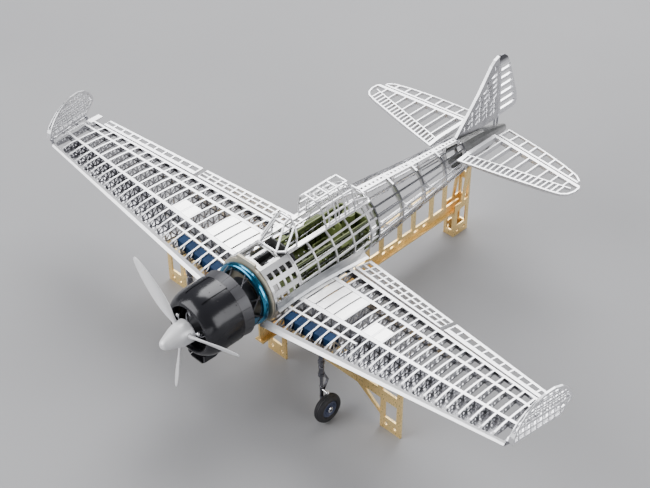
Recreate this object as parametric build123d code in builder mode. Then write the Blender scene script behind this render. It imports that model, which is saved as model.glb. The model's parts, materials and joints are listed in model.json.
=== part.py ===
"""Skeleton display model of a radial-engined fighter with folding wing tips, on a brass stand.

Units are millimetres.  The nose points along -Y, the aircraft's left wing along +X, up is +Z.
The origin is on the floor, under the middle of the model.
"""
import os
from math import atan2, cos, degrees, hypot, pi, radians, sin, tan

from build123d import *

# ---------------------------------------------------------------- driving dimensions
NOSE_Y = -141.5
TAIL_Y = 141.5
THRUST_Z = 58.6
PROP_Y = -127.6
PROP_RADIUS = 45.4
PROP_ANGLE = 47.5
SPINNER_RADIUS = 6.8
COWL_FRONT_Y = -123.5
COWL_REAR_Y = -101.5
COWL_RADIUS = 18.9
FLAP_RING_REAR_Y = -95.0
MOUNT_RING_Y = -85.0
MOUNT_RING_RADIUS = 16.2
BODY_RADIUS = 20.2

ROOT_X = 18.0
ROOT_LE_Y = -91.2
ROOT_TE_Y = -12.5
WING_ROOT_Z = 51.2
DIHEDRAL = 6.45
WING_END_X = 168.0
END_SLANT = 0.152
LE_SLOPE = 0.0641
TE_SLOPE = -0.1926
THICKNESS_RATIO = 0.11
SKIN_SCALE = 0.88
RIB_COUNT = 23
RIB_THICKNESS = 0.5
HINGE_C = 0.85

FOLD_X = 169.6
FOLD_Y = -81.4
FOLD_LENGTH = 38.6
TIP_HEIGHT = 19.2

STAB_Z = 66.4
WHEEL_X = 58.0
WHEEL_Y = -79.5
WHEEL_RADIUS = 8.6
WHEEL_WIDTH = 5.4

STAND_Y = -62.4
STAND_THICKNESS = 1.2
FOOT_OUTER_X = 92.0
FOOT_WIDTH = 14.4

os.makedirs("parts", exist_ok=True)


# ---------------------------------------------------------------- shared helpers
def faceted(sections):
    """Solid whose flat faces join matching corners of a row of closed sections."""
    faces = []
    for near, far in zip(sections, sections[1:]):
        count = len(near)
        for i in range(count):
            j = (i + 1) % count
            faces.append(Face(Wire.make_polygon([near[i], near[j], far[j]])))
            faces.append(Face(Wire.make_polygon([near[i], far[j], far[i]])))
    faces.append(Face(Wire.make_polygon(sections[0])))
    faces.append(Face(Wire.make_polygon(sections[-1])))
    return Solid(Shell(faces))


def bar(start, end, width, depth=None):
    """Straight rectangular bar between two points, with its depth towards +Z."""
    a = Vector(*start)
    b = Vector(*end)
    along = (b - a).normalized()
    side = along.cross(Vector(0, 0, 1))
    if side.length < 0.05:
        side = Vector(1, 0, 0)
    with BuildPart() as piece:
        with BuildSketch(Plane(origin=a, x_dir=side.normalized(), z_dir=along)):
            Rectangle(width, depth or width)
        extrude(amount=(b - a).length)
    return piece.part


def rod(start, end, radius):
    """Round rod between two points."""
    a = Vector(*start)
    b = Vector(*end)
    with BuildPart() as piece:
        with BuildSketch(Plane(origin=a, z_dir=(b - a).normalized())):
            Circle(radius)
        extrude(amount=(b - a).length)
    return piece.part


def poly_bars(points, width, depth=None, closed=False):
    """Bars along a chain of points, each run a little long so that the joints fill."""
    chain = list(points)
    if closed:
        chain.append(points[0])
    pieces = []
    for p, q in zip(chain, chain[1:]):
        a = Vector(*p)
        b = Vector(*q)
        extra = (b - a).normalized() * (width * 0.45)
        pieces.append(bar(tuple(a - extra), tuple(b + extra), width, depth))
    return pieces


def inset_triangle(corners, margin):
    """Triangle moved in from its sides by a margin, or None where too little is left."""
    (ax, ay), (bx, by), (cx, cy) = corners
    a = hypot(bx - cx, by - cy)
    b = hypot(ax - cx, ay - cy)
    c = hypot(ax - bx, ay - by)
    area = abs((bx - ax) * (cy - ay) - (cx - ax) * (by - ay)) / 2
    inner = 2 * area / (a + b + c)
    if inner < margin * 1.35:
        return None
    ix = (a * ax + b * bx + c * cx) / (a + b + c)
    iy = (a * ay + b * by + c * cy) / (a + b + c)
    k = 1 - margin / inner
    return [(ix + (x - ix) * k, iy + (y - iy) * k) for x, y in corners]


# ---------------------------------------------------------------- body sections
SIDES = 20
BODY = [(-90.0, 20.2, 20.2, 58.6), (-60.0, 19.6, 20.0, 58.8), (-35.0, 19.0, 19.9, 59.0), (0.0, 17.6, 19.5, 60.0),
        (22.0, 15.8, 18.05, 59.55), (43.0, 13.6, 16.1, 59.1), (64.0, 11.6, 14.3, 59.1), (85.0, 9.6, 12.4, 59.2),
        (108.0, 7.0, 9.0, 59.0), (132.0, 1.8, 2.6, 57.0)]


def body_at(y):
    """Half width, half height and centre height of the body at y."""
    for (y0, *low), (y1, *high) in zip(BODY, BODY[1:]):
        if y0 <= y <= y1:
            k = (y - y0) / (y1 - y0)
            return tuple(a + (b - a) * k for a, b in zip(low, high))
    return BODY[-1][1:]


def body_point(y, k, inset=0.0):
    """Corner k of the many-sided body section at y, moved inwards."""
    rx, rz, zc = body_at(y)
    angle = radians(9 + 18 * k)
    return ((rx - inset) * cos(angle), y, zc + (rz - inset) * sin(angle))


def body_ring(y, inset=0.0):
    return [body_point(y, k, inset) for k in range(SIDES)]


def body_arc(y, first, last, outer, inner):
    """Closed section of a wall of the body from corner first to corner last."""
    corners = range(first, last + 1)
    return [body_point(y, k, outer) for k in corners] + [body_point(y, k, inner) for k in reversed(corners)]


def half_width_at(y, z):
    """Half width of the many-sided body at a height."""
    best = 0.0
    for k in range(-5, 5):
        x0, _, z0 = body_point(y, k)
        x1, _, z1 = body_point(y, k + 1)
        if z0 <= z <= z1:
            best = x0 + (x1 - x0) * (z - z0) / (z1 - z0)
    return best


def stringer(k, y0, y1, half_angle, outer, inner):
    """Strip along corner k of the body between two stations."""
    def corners(y):
        rx, rz, zc = body_at(y)
        points = []
        for inset, sign in ((outer, -1), (outer, 1), (inner, 1), (inner, -1)):
            angle = radians(9 + 18 * k + sign * half_angle)
            reach = 0.988
            points.append(((rx * reach - inset) * cos(angle), y, zc + (rz * reach - inset) * sin(angle)))
        return points
    return faceted([corners(y0), corners(y1)])


def hoop(y, width, outer, inner, first=0, last=SIDES):
    """Flat ring or part ring of the body wall."""
    if last - first == SIDES:
        with BuildPart() as piece:
            add(faceted([body_ring(y, outer), body_ring(y + width, outer)]))
            add(faceted([body_ring(y - 0.5, inner), body_ring(y + width + 0.5, inner)]), mode=Mode.SUBTRACT)
        return piece.part
    return faceted([body_arc(y, first, last, outer, inner), body_arc(y + width, first, last, outer, inner)])


# ---------------------------------------------------------------- wing surface
UPPER = [(0.0, 0.0), (0.02, 0.22), (0.08, 0.42), (0.20, 0.58), (0.33, 0.62),
         (0.50, 0.57), (0.65, 0.45), (0.80, 0.28), (1.0, 0.04)]
LOWER = [(0.0, 0.0), (0.02, -0.14), (0.08, -0.28), (0.20, -0.37), (0.33, -0.37),
         (0.50, -0.32), (0.65, -0.25), (0.80, -0.16), (1.0, -0.04)]


def wing_le(x):
    return ROOT_LE_Y + (x - ROOT_X) * LE_SLOPE


def wing_te(x):
    return ROOT_TE_Y + (x - ROOT_X) * TE_SLOPE


def wing_chord(x):
    return wing_te(x) - wing_le(x)


def wing_mid_z(x):
    return WING_ROOT_Z + (x - ROOT_X) * tan(radians(DIHEDRAL))


def height_at(line, c):
    """Height fraction of a profile line at a chord fraction."""
    for (c0, t0), (c1, t1) in zip(line, line[1:]):
        if c0 <= c <= c1:
            return t0 + (t1 - t0) * (c - c0) / (c1 - c0)
    return line[-1][1]


def cut_line(line, c0, c1):
    """The points of a profile line between two chord fractions."""
    inner = [(c, t) for c, t in line if c0 < c < c1]
    return [(c0, height_at(line, c0))] + inner + [(c1, height_at(line, c1))]


def to_wing(points, x, scale=1.0):
    """Chord and height fractions turned into points of the wing section at x."""
    chord = wing_chord(x)
    depth = THICKNESS_RATIO * chord * scale
    return [(x, wing_le(x) + c * chord, wing_mid_z(x) + t * depth) for c, t in points]


def profile(c0, c1, scale):
    """Closed profile in fractions, between two chord fractions."""
    top = cut_line(UPPER, c0, c1)
    bottom = cut_line(LOWER, c0, c1)
    if c0 == 0.0:
        bottom = bottom[1:]
    return [(c, t * scale) for c, t in top + bottom[::-1]]


def wing_block(c0, c1, x0, x1, scale=1.0):
    """Solid part of the wing between two chord fractions and two stations."""
    points = profile(c0, c1, scale)
    return faceted([to_wing(points, x0), to_wing(points, x1)])


def skin_block(line, c0, c1, x0, x1):
    """Thin skin that follows one side of the wing."""
    outer = cut_line(line, c0, c1)
    inner = [(c, t * SKIN_SCALE) for c, t in outer]
    if c0 == 0.0:
        inner[0] = (0.012, 0.0)
    points = outer + inner[::-1]
    return faceted([to_wing(points, x0), to_wing(points, x1)])


def end_x(y):
    """Station of the slanted end of the fixed wing at a given y."""
    return WING_END_X + (y - wing_le(WING_END_X)) * END_SLANT


RIB_STATIONS = [ROOT_X + 0.4 + i * (WING_END_X - ROOT_X - 1.4) / (RIB_COUNT - 1) for i in range(RIB_COUNT)]


def span_strip(c0, c1, x0, x1):
    """Plan outline of a spanwise strip between two chord fractions."""
    return [(x0, wing_le(x0) + c0 * wing_chord(x0)), (x1, wing_le(x1) + c0 * wing_chord(x1)),
            (x1, wing_le(x1) + c1 * wing_chord(x1)), (x0, wing_le(x0) + c1 * wing_chord(x0))]


def rib_strip(x, width, c0, c1):
    """Plan outline of a rib cap."""
    return [(x, wing_le(x) + c0 * wing_chord(x)), (x + width, wing_le(x) + c0 * wing_chord(x)),
            (x + width, wing_le(x) + c1 * wing_chord(x)), (x, wing_le(x) + c1 * wing_chord(x))]


def end_strip(width, c0, c1):
    """Plan outline of the strip along the slanted wing end."""
    le = wing_le(WING_END_X)
    chord = wing_chord(WING_END_X)
    ya = le + c0 * chord
    yb = le + c1 * chord
    return [(end_x(ya) - width, ya), (end_x(ya), ya), (end_x(yb), yb), (end_x(yb) - width, yb)]


def lattice(strips, extra):
    """Upright prism over a plan pattern of strips."""
    with BuildPart() as block:
        with BuildSketch(Plane.XY.offset(30)):
            for outline in strips + extra:
                Polygon(*outline, align=None)
        extrude(amount=60)
    return block.part


def wing_end_clip():
    """Upright prism over the plan of the fixed wing, cut off at the slanted end."""
    with BuildPart() as block:
        with BuildSketch(Plane.XY.offset(30)):
            Polygon((10, -100), (end_x(-100), -100), (end_x(0), 0), (10, 0), align=None)
        extrude(amount=60)
    return block.part


SKIN_END_X = 176.0
FIXED_C = 0.825
SPAN_STRIPS = [span_strip(-0.02, 0.045, ROOT_X, SKIN_END_X), span_strip(0.205, 0.222, ROOT_X, 70),
               span_strip(0.308, 0.342, ROOT_X, SKIN_END_X), span_strip(0.635, 0.667, ROOT_X, SKIN_END_X),
               span_strip(0.792, FIXED_C, ROOT_X, SKIN_END_X)]
RIB_STRIPS = [rib_strip(x - 0.25, 1.0, -0.02, FIXED_C) for x in RIB_STATIONS[:-1]]
WALK_RIBS = [rib_strip(x - 0.3, 1.1, 0.343, 0.634) for x in RIB_STATIONS[1:5]]
BASE_STRIPS = SPAN_STRIPS + RIB_STRIPS + [end_strip(1.3, 0.0, FIXED_C)]
LOWER_PLATES = [span_strip(0.06, 0.30, RIB_STATIONS[i] + 0.5, RIB_STATIONS[i + 1]) for i in range(7, 21)]

clip = wing_end_clip()
corner_shape = skin_block(UPPER, 0.74, 0.80, 150, SKIN_END_X) + wing_block(0.79, 1.0, 150, SKIN_END_X)
tip_corner = corner_shape & lattice([end_strip(3.4, 0.72, 1.0)], [])
with BuildPart() as wing_upper_left:
    add(skin_block(UPPER, 0.0, FIXED_C, ROOT_X, SKIN_END_X))
    add(lattice(BASE_STRIPS, []), mode=Mode.INTERSECT)
    add(lattice(WALK_RIBS, []), mode=Mode.SUBTRACT)
    add(tip_corner)
    add(clip, mode=Mode.INTERSECT)
with BuildPart() as wing_lower_left:
    add(skin_block(LOWER, 0.0, FIXED_C, ROOT_X, SKIN_END_X))
    add(lattice(BASE_STRIPS, LOWER_PLATES), mode=Mode.INTERSECT)
    add(clip, mode=Mode.INTERSECT)


def cell_holes(x, c0, c1, cells):
    """Truss openings of one rib between two chord fractions."""
    chord = wing_chord(x)
    depth = THICKNESS_RATIO * chord * 0.845
    le = wing_le(x)
    mid = wing_mid_z(x)
    holes = []
    for k in range(cells):
        ca = c0 + (c1 - c0) * k / cells
        cb = c0 + (c1 - c0) * (k + 1) / cells
        top = [(le + c * chord, mid + height_at(UPPER, c) * depth) for c in (ca, cb)]
        low = [(le + c * chord, mid + height_at(LOWER, c) * depth) for c in (ca, cb)]
        if k % 2:
            pair = [(top[0], top[1], low[0]), (low[0], low[1], top[1])]
        else:
            pair = [(top[0], top[1], low[1]), (low[0], low[1], top[0])]
        for corners in pair:
            hole = inset_triangle(corners, 0.42)
            if hole:
                holes.append(hole)
    return holes


with BuildPart() as wing_ribs_left:
    for x in RIB_STATIONS:
        for c0, c1, cells in ((0.026, 0.3168, 5), (0.3334, 0.6418, 5), (0.6586, 0.8165, 3)):
            fractions = profile(c0, c1, 0.845)
            outline = [(y, z) for _, y, z in to_wing(fractions, x + RIB_THICKNESS)]
            with BuildSketch(Plane.YZ.offset(x)):
                Polygon(*outline, align=None)
                for hole in cell_holes(x + RIB_THICKNESS, c0, c1, cells):
                    Polygon(*hole, align=None, mode=Mode.SUBTRACT)
    extrude(amount=RIB_THICKNESS)

with BuildPart() as wing_spars_left:
    for c0, c1 in ((0.3175, 0.3325), (0.6425, 0.6575), (0.8172, 0.8245)):
        add(wing_block(c0, c1, ROOT_X + 0.2, WING_END_X + 1.2, 0.87))
    add(clip, mode=Mode.INTERSECT)


def window_strips(c0, c1, first, last, gap):
    """Plan outlines of the bays between ribs, a little smaller than the bay."""
    outlines = []
    for i in range(first, last):
        x0 = RIB_STATIONS[i] + 0.75 + gap
        x1 = RIB_STATIONS[i + 1] - 0.25 - gap
        outlines.append(span_strip(c0, c1, x0, x1))
    return outlines


WALKWAY = window_strips(0.345, 0.632, 0, 5, 0.12) + window_strips(0.345, 0.50, 7, 9, 0.12)
with BuildPart() as walkway_panels:
    add(skin_block(UPPER, 0.05, 0.70, ROOT_X, 90))
    add(lattice(WALKWAY, []), mode=Mode.INTERSECT)
    mirror(about=Plane.YZ)

with BuildPart() as fuel_cells:
    for i in range(1, 6):
        add(wing_block(0.125, 0.202, RIB_STATIONS[i] + 0.8, RIB_STATIONS[i + 1] - 0.3, 0.84))
    mirror(about=Plane.YZ)


# ---------------------------------------------------------------- moving surfaces of the wing
def trailing_surface(x0, x1, strips):
    """Trailing piece behind the hinge line, open between its ribs, with ends square to the hinge."""
    a = (x0, wing_le(x0) + HINGE_C * wing_chord(x0))
    b = (x1, wing_le(x1) + HINGE_C * wing_chord(x1))
    slope = (b[1] - a[1]) / (b[0] - a[0])
    with BuildPart() as piece:
        add(wing_block(HINGE_C, 1.0, x0 - 6, x1 + 6))
        add(lattice(strips, []), mode=Mode.INTERSECT)
        with BuildSketch(Plane.XY.offset(30)):
            Polygon(a, b, (b[0] - 25 * slope, b[1] + 25), (a[0] - 25 * slope, a[1] + 25), align=None)
        extrude(amount=60, mode=Mode.INTERSECT)
    return piece.part


def ladder(x0, x1, bays, spans, width):
    """Strips of a trailing surface: ribs and spanwise lines."""
    outlines = [span_strip(c0, c1, x0 - 6, x1 + 6) for c0, c1 in spans]
    for k in range(bays + 1):
        x = x0 + (x1 - x0) * k / bays
        y = wing_le(x) + HINGE_C * wing_chord(x)
        outlines.append([(x - width, y - 3), (x + width, y - 3), (x + width + 4, y + 25), (x - width + 4, y + 25)])
    return outlines


FLAP_X0 = 23.0
FLAP_X1 = 92.0
AILERON_X0 = 95.0
AILERON_X1 = 163.5
flap_strips = ladder(FLAP_X0, FLAP_X1, 12, [(0.85, 0.874), (0.918, 0.932), (0.972, 1.02)], 0.5)
aileron_strips = ladder(AILERON_X0, AILERON_X1, 11, [(0.85, 0.896), (0.966, 1.02)], 0.5)
with BuildPart() as flap_left:
    add(trailing_surface(FLAP_X0, FLAP_X1, flap_strips))
with BuildPart() as aileron_left:
    add(trailing_surface(AILERON_X0, AILERON_X1, aileron_strips))

# ---------------------------------------------------------------- folding wing tip, standing up
FOLD_DIR = Vector(END_SLANT, 1, 0.017).normalized()
FOLD_Z = 71.0
TIP_OUT = FOLD_DIR.cross(Vector(0, 0, 1)).normalized()
TIP_PLANE = Plane(origin=(FOLD_X, FOLD_Y, FOLD_Z), x_dir=FOLD_DIR, z_dir=TIP_OUT)
TIP_OUTLINE = [(0.6, 0.9), (1.2, 4.0), (3.0, 7.5), (6.0, 11.2), (10.0, 14.6), (15.0, 17.3), (21.0, 18.9),
               (27.0, 19.2), (32.0, 17.6), (35.5, 14.6), (37.6, 11.0), (38.2, 7.6), (31.0, 0.9)]


def tip_height(s):
    for (s0, h0), (s1, h1) in zip(TIP_OUTLINE[:8], TIP_OUTLINE[1:8]):
        if s0 <= s <= s1:
            return h0 + (h1 - h0) * (s - s0) / (s1 - s0)
    for (s0, h0), (s1, h1) in zip(TIP_OUTLINE[7:], TIP_OUTLINE[8:]):
        if s0 <= s <= s1 and s1 > s0:
            return h0 + (h1 - h0) * (s - s0) / (s1 - s0)
    return 4.0


with BuildPart() as wingtip_left:
    with BuildSketch(TIP_PLANE):
        Polygon(*TIP_OUTLINE, align=None)
        offset(amount=-1.1, kind=Kind.INTERSECTION, mode=Mode.SUBTRACT)
        for k in range(1, 10):
            s = 0.6 + 3.7 * k
            with Locations((s, tip_height(s) / 2 + 0.45)):
                Rectangle(0.6, tip_height(s) - 0.9)
        for h, middle, length in ((1.5, 16.0, 30.4), (4.6, 18.0, 32.0), (8.2, 20.0, 34.0), (11.8, 22.4, 30.6), (15.4, 23.4, 22.0)):
            with Locations((middle, h)):
                Rectangle(length, 0.9)
        Polygon(*TIP_OUTLINE, align=None, mode=Mode.INTERSECT)
    extrude(amount=3.4)
    with BuildSketch(Plane(origin=(FOLD_X, FOLD_Y, FOLD_Z), x_dir=TIP_OUT, z_dir=FOLD_DIR)):
        Polygon((0.9, -20.5), (3.4, 0.5), (6, 0.5), (6, -20.5), align=None)
    extrude(amount=45, mode=Mode.SUBTRACT)
    with BuildSketch(Plane(origin=(FOLD_X, FOLD_Y, FOLD_Z), x_dir=TIP_OUT, z_dir=FOLD_DIR).offset(2.2)):
        Polygon((0.6, -2.1), (2.7, -2.1), (0.95, -17.6), (0.6, -17.6), align=None)
    extrude(amount=34.4, mode=Mode.SUBTRACT)
    for s in (3.0, 14.0, 25.0):
        with BuildSketch(Plane(origin=(FOLD_X, FOLD_Y, FOLD_Z), x_dir=TIP_OUT, z_dir=FOLD_DIR).offset(s)):
            Circle(0.95)
            with Locations((0.75, -0.9)):
                Rectangle(1.4, 1.4)
            Circle(0.45, mode=Mode.SUBTRACT)
        extrude(amount=3.0)

HINGE_PLANE = Plane(origin=(FOLD_X, FOLD_Y, FOLD_Z), x_dir=TIP_OUT, z_dir=FOLD_DIR)
with BuildPart() as fold_hinges:
    with BuildSketch(HINGE_PLANE.offset(0.6)):
        Circle(0.4)
    extrude(amount=29.8)
    for s in (0.6, 10.2, 21.2, 29.4):
        with BuildSketch(HINGE_PLANE.offset(s)):
            Circle(0.75)
            with Locations((-0.85, 0.9)):
                Rectangle(1.0, 2.6)
            with Locations((-0.4, 0.25)):
                Rectangle(1.2, 0.9)
        extrude(amount=1.0)
    mirror(about=Plane.YZ)

# ---------------------------------------------------------------- rear fuselage
REAR_FRAMES = [0.6, 22.0, 43.0, 64.0, 84.4]
with BuildPart() as rear_fuselage_lattice:
    add([hoop(y, 1.2, 0.0, 1.0) for y in REAR_FRAMES])
    rear_strips = []
    for y0, y1 in zip(REAR_FRAMES, REAR_FRAMES[1:]):
        for k in range(SIDES):
            if k in (4, 5):
                continue
            rear_strips.append(stringer(k, y0 + 0.6, y1 + 0.6, 1.9, 0.05, 0.7))
    add(rear_strips)

with BuildPart() as dorsal_spine:
    for y0, y1 in zip(REAR_FRAMES, REAR_FRAMES[1:]):
        a = body_arc(y0 + 1.3, 4, 5, 0.15, 0.8)
        b = body_arc(y1 - 0.1, 4, 5, 0.15, 0.8)
        add(faceted([a, b]))
    with BuildSketch(Plane.XY.offset(60)):
        for y0, y1 in zip(REAR_FRAMES, REAR_FRAMES[1:]):
            for i in range(6):
                with Locations((0, y0 + 3.6 + i * (y1 - y0 - 5.4) / 5)):
                    Rectangle(1.5, 1.6)
    extrude(amount=30, mode=Mode.SUBTRACT)

with BuildPart() as fuselage_frames:
    for y in REAR_FRAMES:
        add(faceted([body_ring(y + 0.3, 1.05), body_ring(y + 0.8, 1.05)]))
        add(faceted([body_ring(y - 0.5, 2.8), body_ring(y + 1.6, 2.8)]), mode=Mode.SUBTRACT)

# tail end: closed cone behind the last frame, and the post that carries the rudder
with BuildPart() as tail_cone:
    add(faceted([body_ring(y, 0.0) for y in (86.0, 96.0, 108.0, 120.0, 132.0)]))
    add(faceted([body_ring(y, 0.8) for y in (85.0, 96.0, 108.0, 118.0)]), mode=Mode.SUBTRACT)
    with BuildSketch(Plane.YZ.offset(-20)):
        for y, w in ((90.5, 7.0), (99.5, 7.0), (108.0, 5.6), (115.5, 5.0)):
            with Locations((y, 54.2 + (y - 90) * 0.09)):
                Rectangle(w, 3.0)
        with Locations((93.5, 61.2)):
            Rectangle(12, 4.0)
    extrude(amount=40, mode=Mode.SUBTRACT)

# ---------------------------------------------------------------- forward fuselage
RAIL = 3
with BuildPart() as fuselage_side_left:
    add(faceted([body_arc(y, -2, RAIL, 0.0, 0.8) for y in (-81.2, -62.0)]))
    for angle, size in ((48, 3.7), (29, 3.7), (10, 3.3)):
        for i in range(4):
            spot = Plane(origin=(0, -77.9 + 4.45 * i, 58.7), x_dir=(0, 1, 0),
                         z_dir=(cos(radians(angle)), 0, sin(radians(angle))))
            with BuildSketch(spot.offset(12)):
                Rectangle(3.2, size)
            extrude(amount=14, mode=Mode.SUBTRACT)
with BuildPart() as fuselage_side_right:
    mirror(fuselage_side_left.part, about=Plane.YZ)

COCKPIT_FRAMES = [-61.8, -48.0, -34.0, -20.0, -6.0]
with BuildPart() as cockpit_sides:
    add([hoop(y, 1.0, 0.0, 1.0, -13, RAIL) for y in COCKPIT_FRAMES])
    side_strips = []
    stops = COCKPIT_FRAMES + [-0.1]
    for y0, y1 in zip(stops, stops[1:]):
        for k in range(-12, 3):
            side_strips.append(stringer(k, y0 + 0.5, min(y1 + 0.5, 0.5), 1.7, 0.05, 0.7))
    add(side_strips)

with BuildPart() as canopy_rails:
    for side in (-1, 1):
        rail_points = [(side * 9.0, y, 77.55) for y in (-61.8, 0.2)]
        add(bar(rail_points[0], rail_points[1], 2.8, 0.9))

with BuildPart() as firewall:
    add(faceted([body_ring(-82.6, 0.6), body_ring(-81.4, 0.6)]))
    with BuildSketch(Plane.XZ.offset(81.2)):
        with Locations((0, 77.4)):
            Rectangle(13, 4.6)
    extrude(amount=1.4)

with BuildPart() as nose_deck:
    add(faceted([body_arc(y, RAIL, 6, 0.02, 0.8) for y in (-81.2, -66.5)]))
    with BuildSketch(Plane.XY.offset(70)):
        with Locations((-4.2, -73.4), (4.2, -73.4)):
            RectangleRounded(6.8, 10.4, 0.8)
    extrude(amount=15, mode=Mode.SUBTRACT)

with BuildPart() as instrument_panel:
    with BuildSketch(Plane.XZ.offset(57.5)):
        Polygon((-12.5, 62), (12.5, 62), (11.5, 71), (7.5, 76.4), (-7.5, 76.4), (-11.5, 71), align=None)
    extrude(amount=1.0)
    with BuildSketch(Plane.XZ.offset(56.9)):
        with Locations((-7.5, 67.5), (0, 67.0), (7.5, 67.5), (-4.2, 72.5), (4.2, 72.5)):
            Circle(2.1)
    extrude(amount=0.6)
    with BuildSketch(Plane.XY.offset(68.5)):
        with Locations((0, -69.5)):
            Rectangle(20, 22.6)
    extrude(amount=0.8)
    for x in (-4.4, 4.4):
        add(rod((x, -80.6, 70.9), (x, -58.3, 70.9), 1.5))
        with Locations((x, -68.6, 70.9)):
            Box(4.2, 9.0, 4.0)

with BuildPart() as cockpit_floor:
    with BuildSketch(Plane.XY.offset(46)):
        with Locations((0, -29.5)):
            Rectangle(21.6, 58)
    extrude(amount=0.8)
    with BuildSketch(Plane.XZ.offset(0.5)):
        with Locations((0, 56)):
            Rectangle(21.6, 20)
    extrude(amount=0.8)
    for x in (-10.8, 10.0):
        with BuildSketch(Plane.YZ.offset(x)):
            Polygon((-56.2, 46), (-0.6, 46), (-0.6, 66), (-56.2, 66), align=None)
            for y in (-50, -38, -26, -12):
                with Locations((y, 58)):
                    Rectangle(7, 9, mode=Mode.SUBTRACT)
        extrude(amount=0.8)

with BuildPart() as seat:
    with BuildSketch(Plane.XY.offset(50)):
        with Locations((0, -24)):
            RectangleRounded(11, 12, 2)
    extrude(amount=5)
    with BuildSketch(Plane.XY.offset(51)):
        with Locations((0, -24.5)):
            RectangleRounded(9.4, 9.6, 1.4)
    extrude(amount=6, mode=Mode.SUBTRACT)
    with BuildSketch(Plane.XZ.offset(17.0)):
        with Locations((0, 59.5)):
            RectangleRounded(11, 19, 3)
        with Locations((0, 64)):
            Circle(1.4, mode=Mode.SUBTRACT)
    extrude(amount=1.0)
    with Locations((0, -24, 48.6)):
        Box(3, 8, 3.4)

with BuildPart() as control_stick:
    add(rod((0, -38, 46.95), (0, -36.5, 60), 0.55))
    with Locations((0, -36.4, 60.4)):
        Torus(1.5, 0.45, rotation=(90, 0, 0))

with BuildPart() as cockpit_equipment:
    with Locations((0, -7.5, 51.5)):
        Box(12, 9, 9.2)
    with Locations((7.4, -38, 50)):
        Box(4.4, 10, 6.2)
    with Locations((-7.4, -38, 50)):
        Box(4.4, 10, 6.2)
    with Locations((0, -6.0, 62)):
        Cylinder(3.6, 11)

# ---------------------------------------------------------------- canopy
ARCH = [(9.4, 78.7), (9.0, 84.2), (7.0, 90.0), (3.6, 93.2)]


def arch_points(y, drop, lean, scale=1.0):
    """Corners of one canopy hoop from the left foot over the top to the right foot."""
    half = [(x * scale, y + lean * (z - 78.7) / 15, 78.7 + (z - 78.7) * (1 - drop)) for x, z in ARCH]
    return half + [(-x, yy, z) for x, yy, z in reversed(half)]


def cage(hoops, width):
    """Bars along a row of hoops and between their matching corners."""
    pieces = []
    for points in hoops:
        pieces += poly_bars(points, width)
    for a, b in zip(hoops, hoops[1:]):
        for p, q in zip(a, b):
            pieces += poly_bars([p, q], width)
    return pieces


with BuildPart() as windshield_frame:
    rear_arch = arch_points(-55.0, 0.05, 1.5)
    front_low = [(9.2, -63.0, 78.7), (6.2, -66.8, 79.2), (-6.2, -66.8, 79.2), (-9.2, -63.0, 78.7)]
    front_top = [(3.2, -57.6, 90.6), (-3.2, -57.6, 90.6)]
    glazing = poly_bars(rear_arch, 0.9)
    glazing += poly_bars(front_low, 0.9)
    glazing += poly_bars([front_low[0], rear_arch[0]], 0.9)
    glazing += poly_bars([front_low[3], rear_arch[7]], 0.9)
    glazing += poly_bars([front_low[1], front_top[0], front_top[1], front_low[2]], 0.9)
    glazing += poly_bars([front_top[0], rear_arch[3]], 0.9)
    glazing += poly_bars([front_top[1], rear_arch[4]], 0.9)
    glazing += poly_bars([front_low[0], rear_arch[2]], 0.9)
    glazing += poly_bars([front_low[3], rear_arch[5]], 0.9)
    add(glazing)

SLIDE_FRONT_Y = -34.0
SLIDE_REAR_Y = -12.0
with BuildPart() as canopy_sliding:
    slide_hoops = [arch_points(y, 0.0, -1.8 * (y < -30), 1.0) for y in (SLIDE_FRONT_Y, -26.6, -19.3, SLIDE_REAR_Y)]
    slide_hoops = [[(x * 1.09, y, 78.7 + (z - 78.7) * 1.07) for x, y, z in points] for points in slide_hoops]
    add(cage(slide_hoops, 0.8))

with BuildPart() as canopy_rear:
    rear_hoops = []
    for y, drop in ((-30.0, 0.13), (-22.5, 0.12), (-15.0, 0.16), (-8.0, 0.36), (-0.6, 0.80)):
        rear_hoops.append([(x * 0.93, yy, z) for x, yy, z in arch_points(y, drop, 0.0)])
    add(cage(rear_hoops, 0.7))

# ---------------------------------------------------------------- wing root fillets and body clearance
with BuildPart() as root_fillets:
    fillet_sections = []
    for y in (-80.5, -70.0, -58.0, -46.0, -34.0, -22.0, -13.0):
        x_probe = 20.8
        c = min(max((y - wing_le(x_probe)) / wing_chord(x_probe), 0.0), 1.0)
        top = wing_mid_z(x_probe) + height_at(UPPER, c) * THICKNESS_RATIO * wing_chord(x_probe) + 0.25
        b = half_width_at(y, top) + 0.3
        m = half_width_at(y, top + 2.2) + 0.3
        t = half_width_at(y, top + 4.6) + 0.3
        reach = 22.6
        fillet_sections.append([(b, y, top), (reach, y, top + 0.35), (reach - 1.6, y, top + 1.0), (m + 0.9, y, top + 2.4),
                                (t + 0.25, y, top + 4.6), (t, y, top + 4.6), (m, y, top + 2.2)])
    add(faceted(fillet_sections))
    mirror(about=Plane.YZ)

body_clearance = faceted([body_ring(y, -0.35) for y in (-90.0, -60.0, -35.0, 0.0, 22.0)])

# ---------------------------------------------------------------- engine, cowling and propeller
AXIS_PLANE = Plane(origin=(0, 0, THRUST_Z), x_dir=(0, 1, 0), z_dir=(1, 0, 0))
THRUST_AXIS = Axis((0, 0, THRUST_Z), (0, 1, 0))
FACE_PLANE = Plane(origin=(0, 0, THRUST_Z), x_dir=(1, 0, 0), z_dir=(0, -1, 0))

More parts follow.
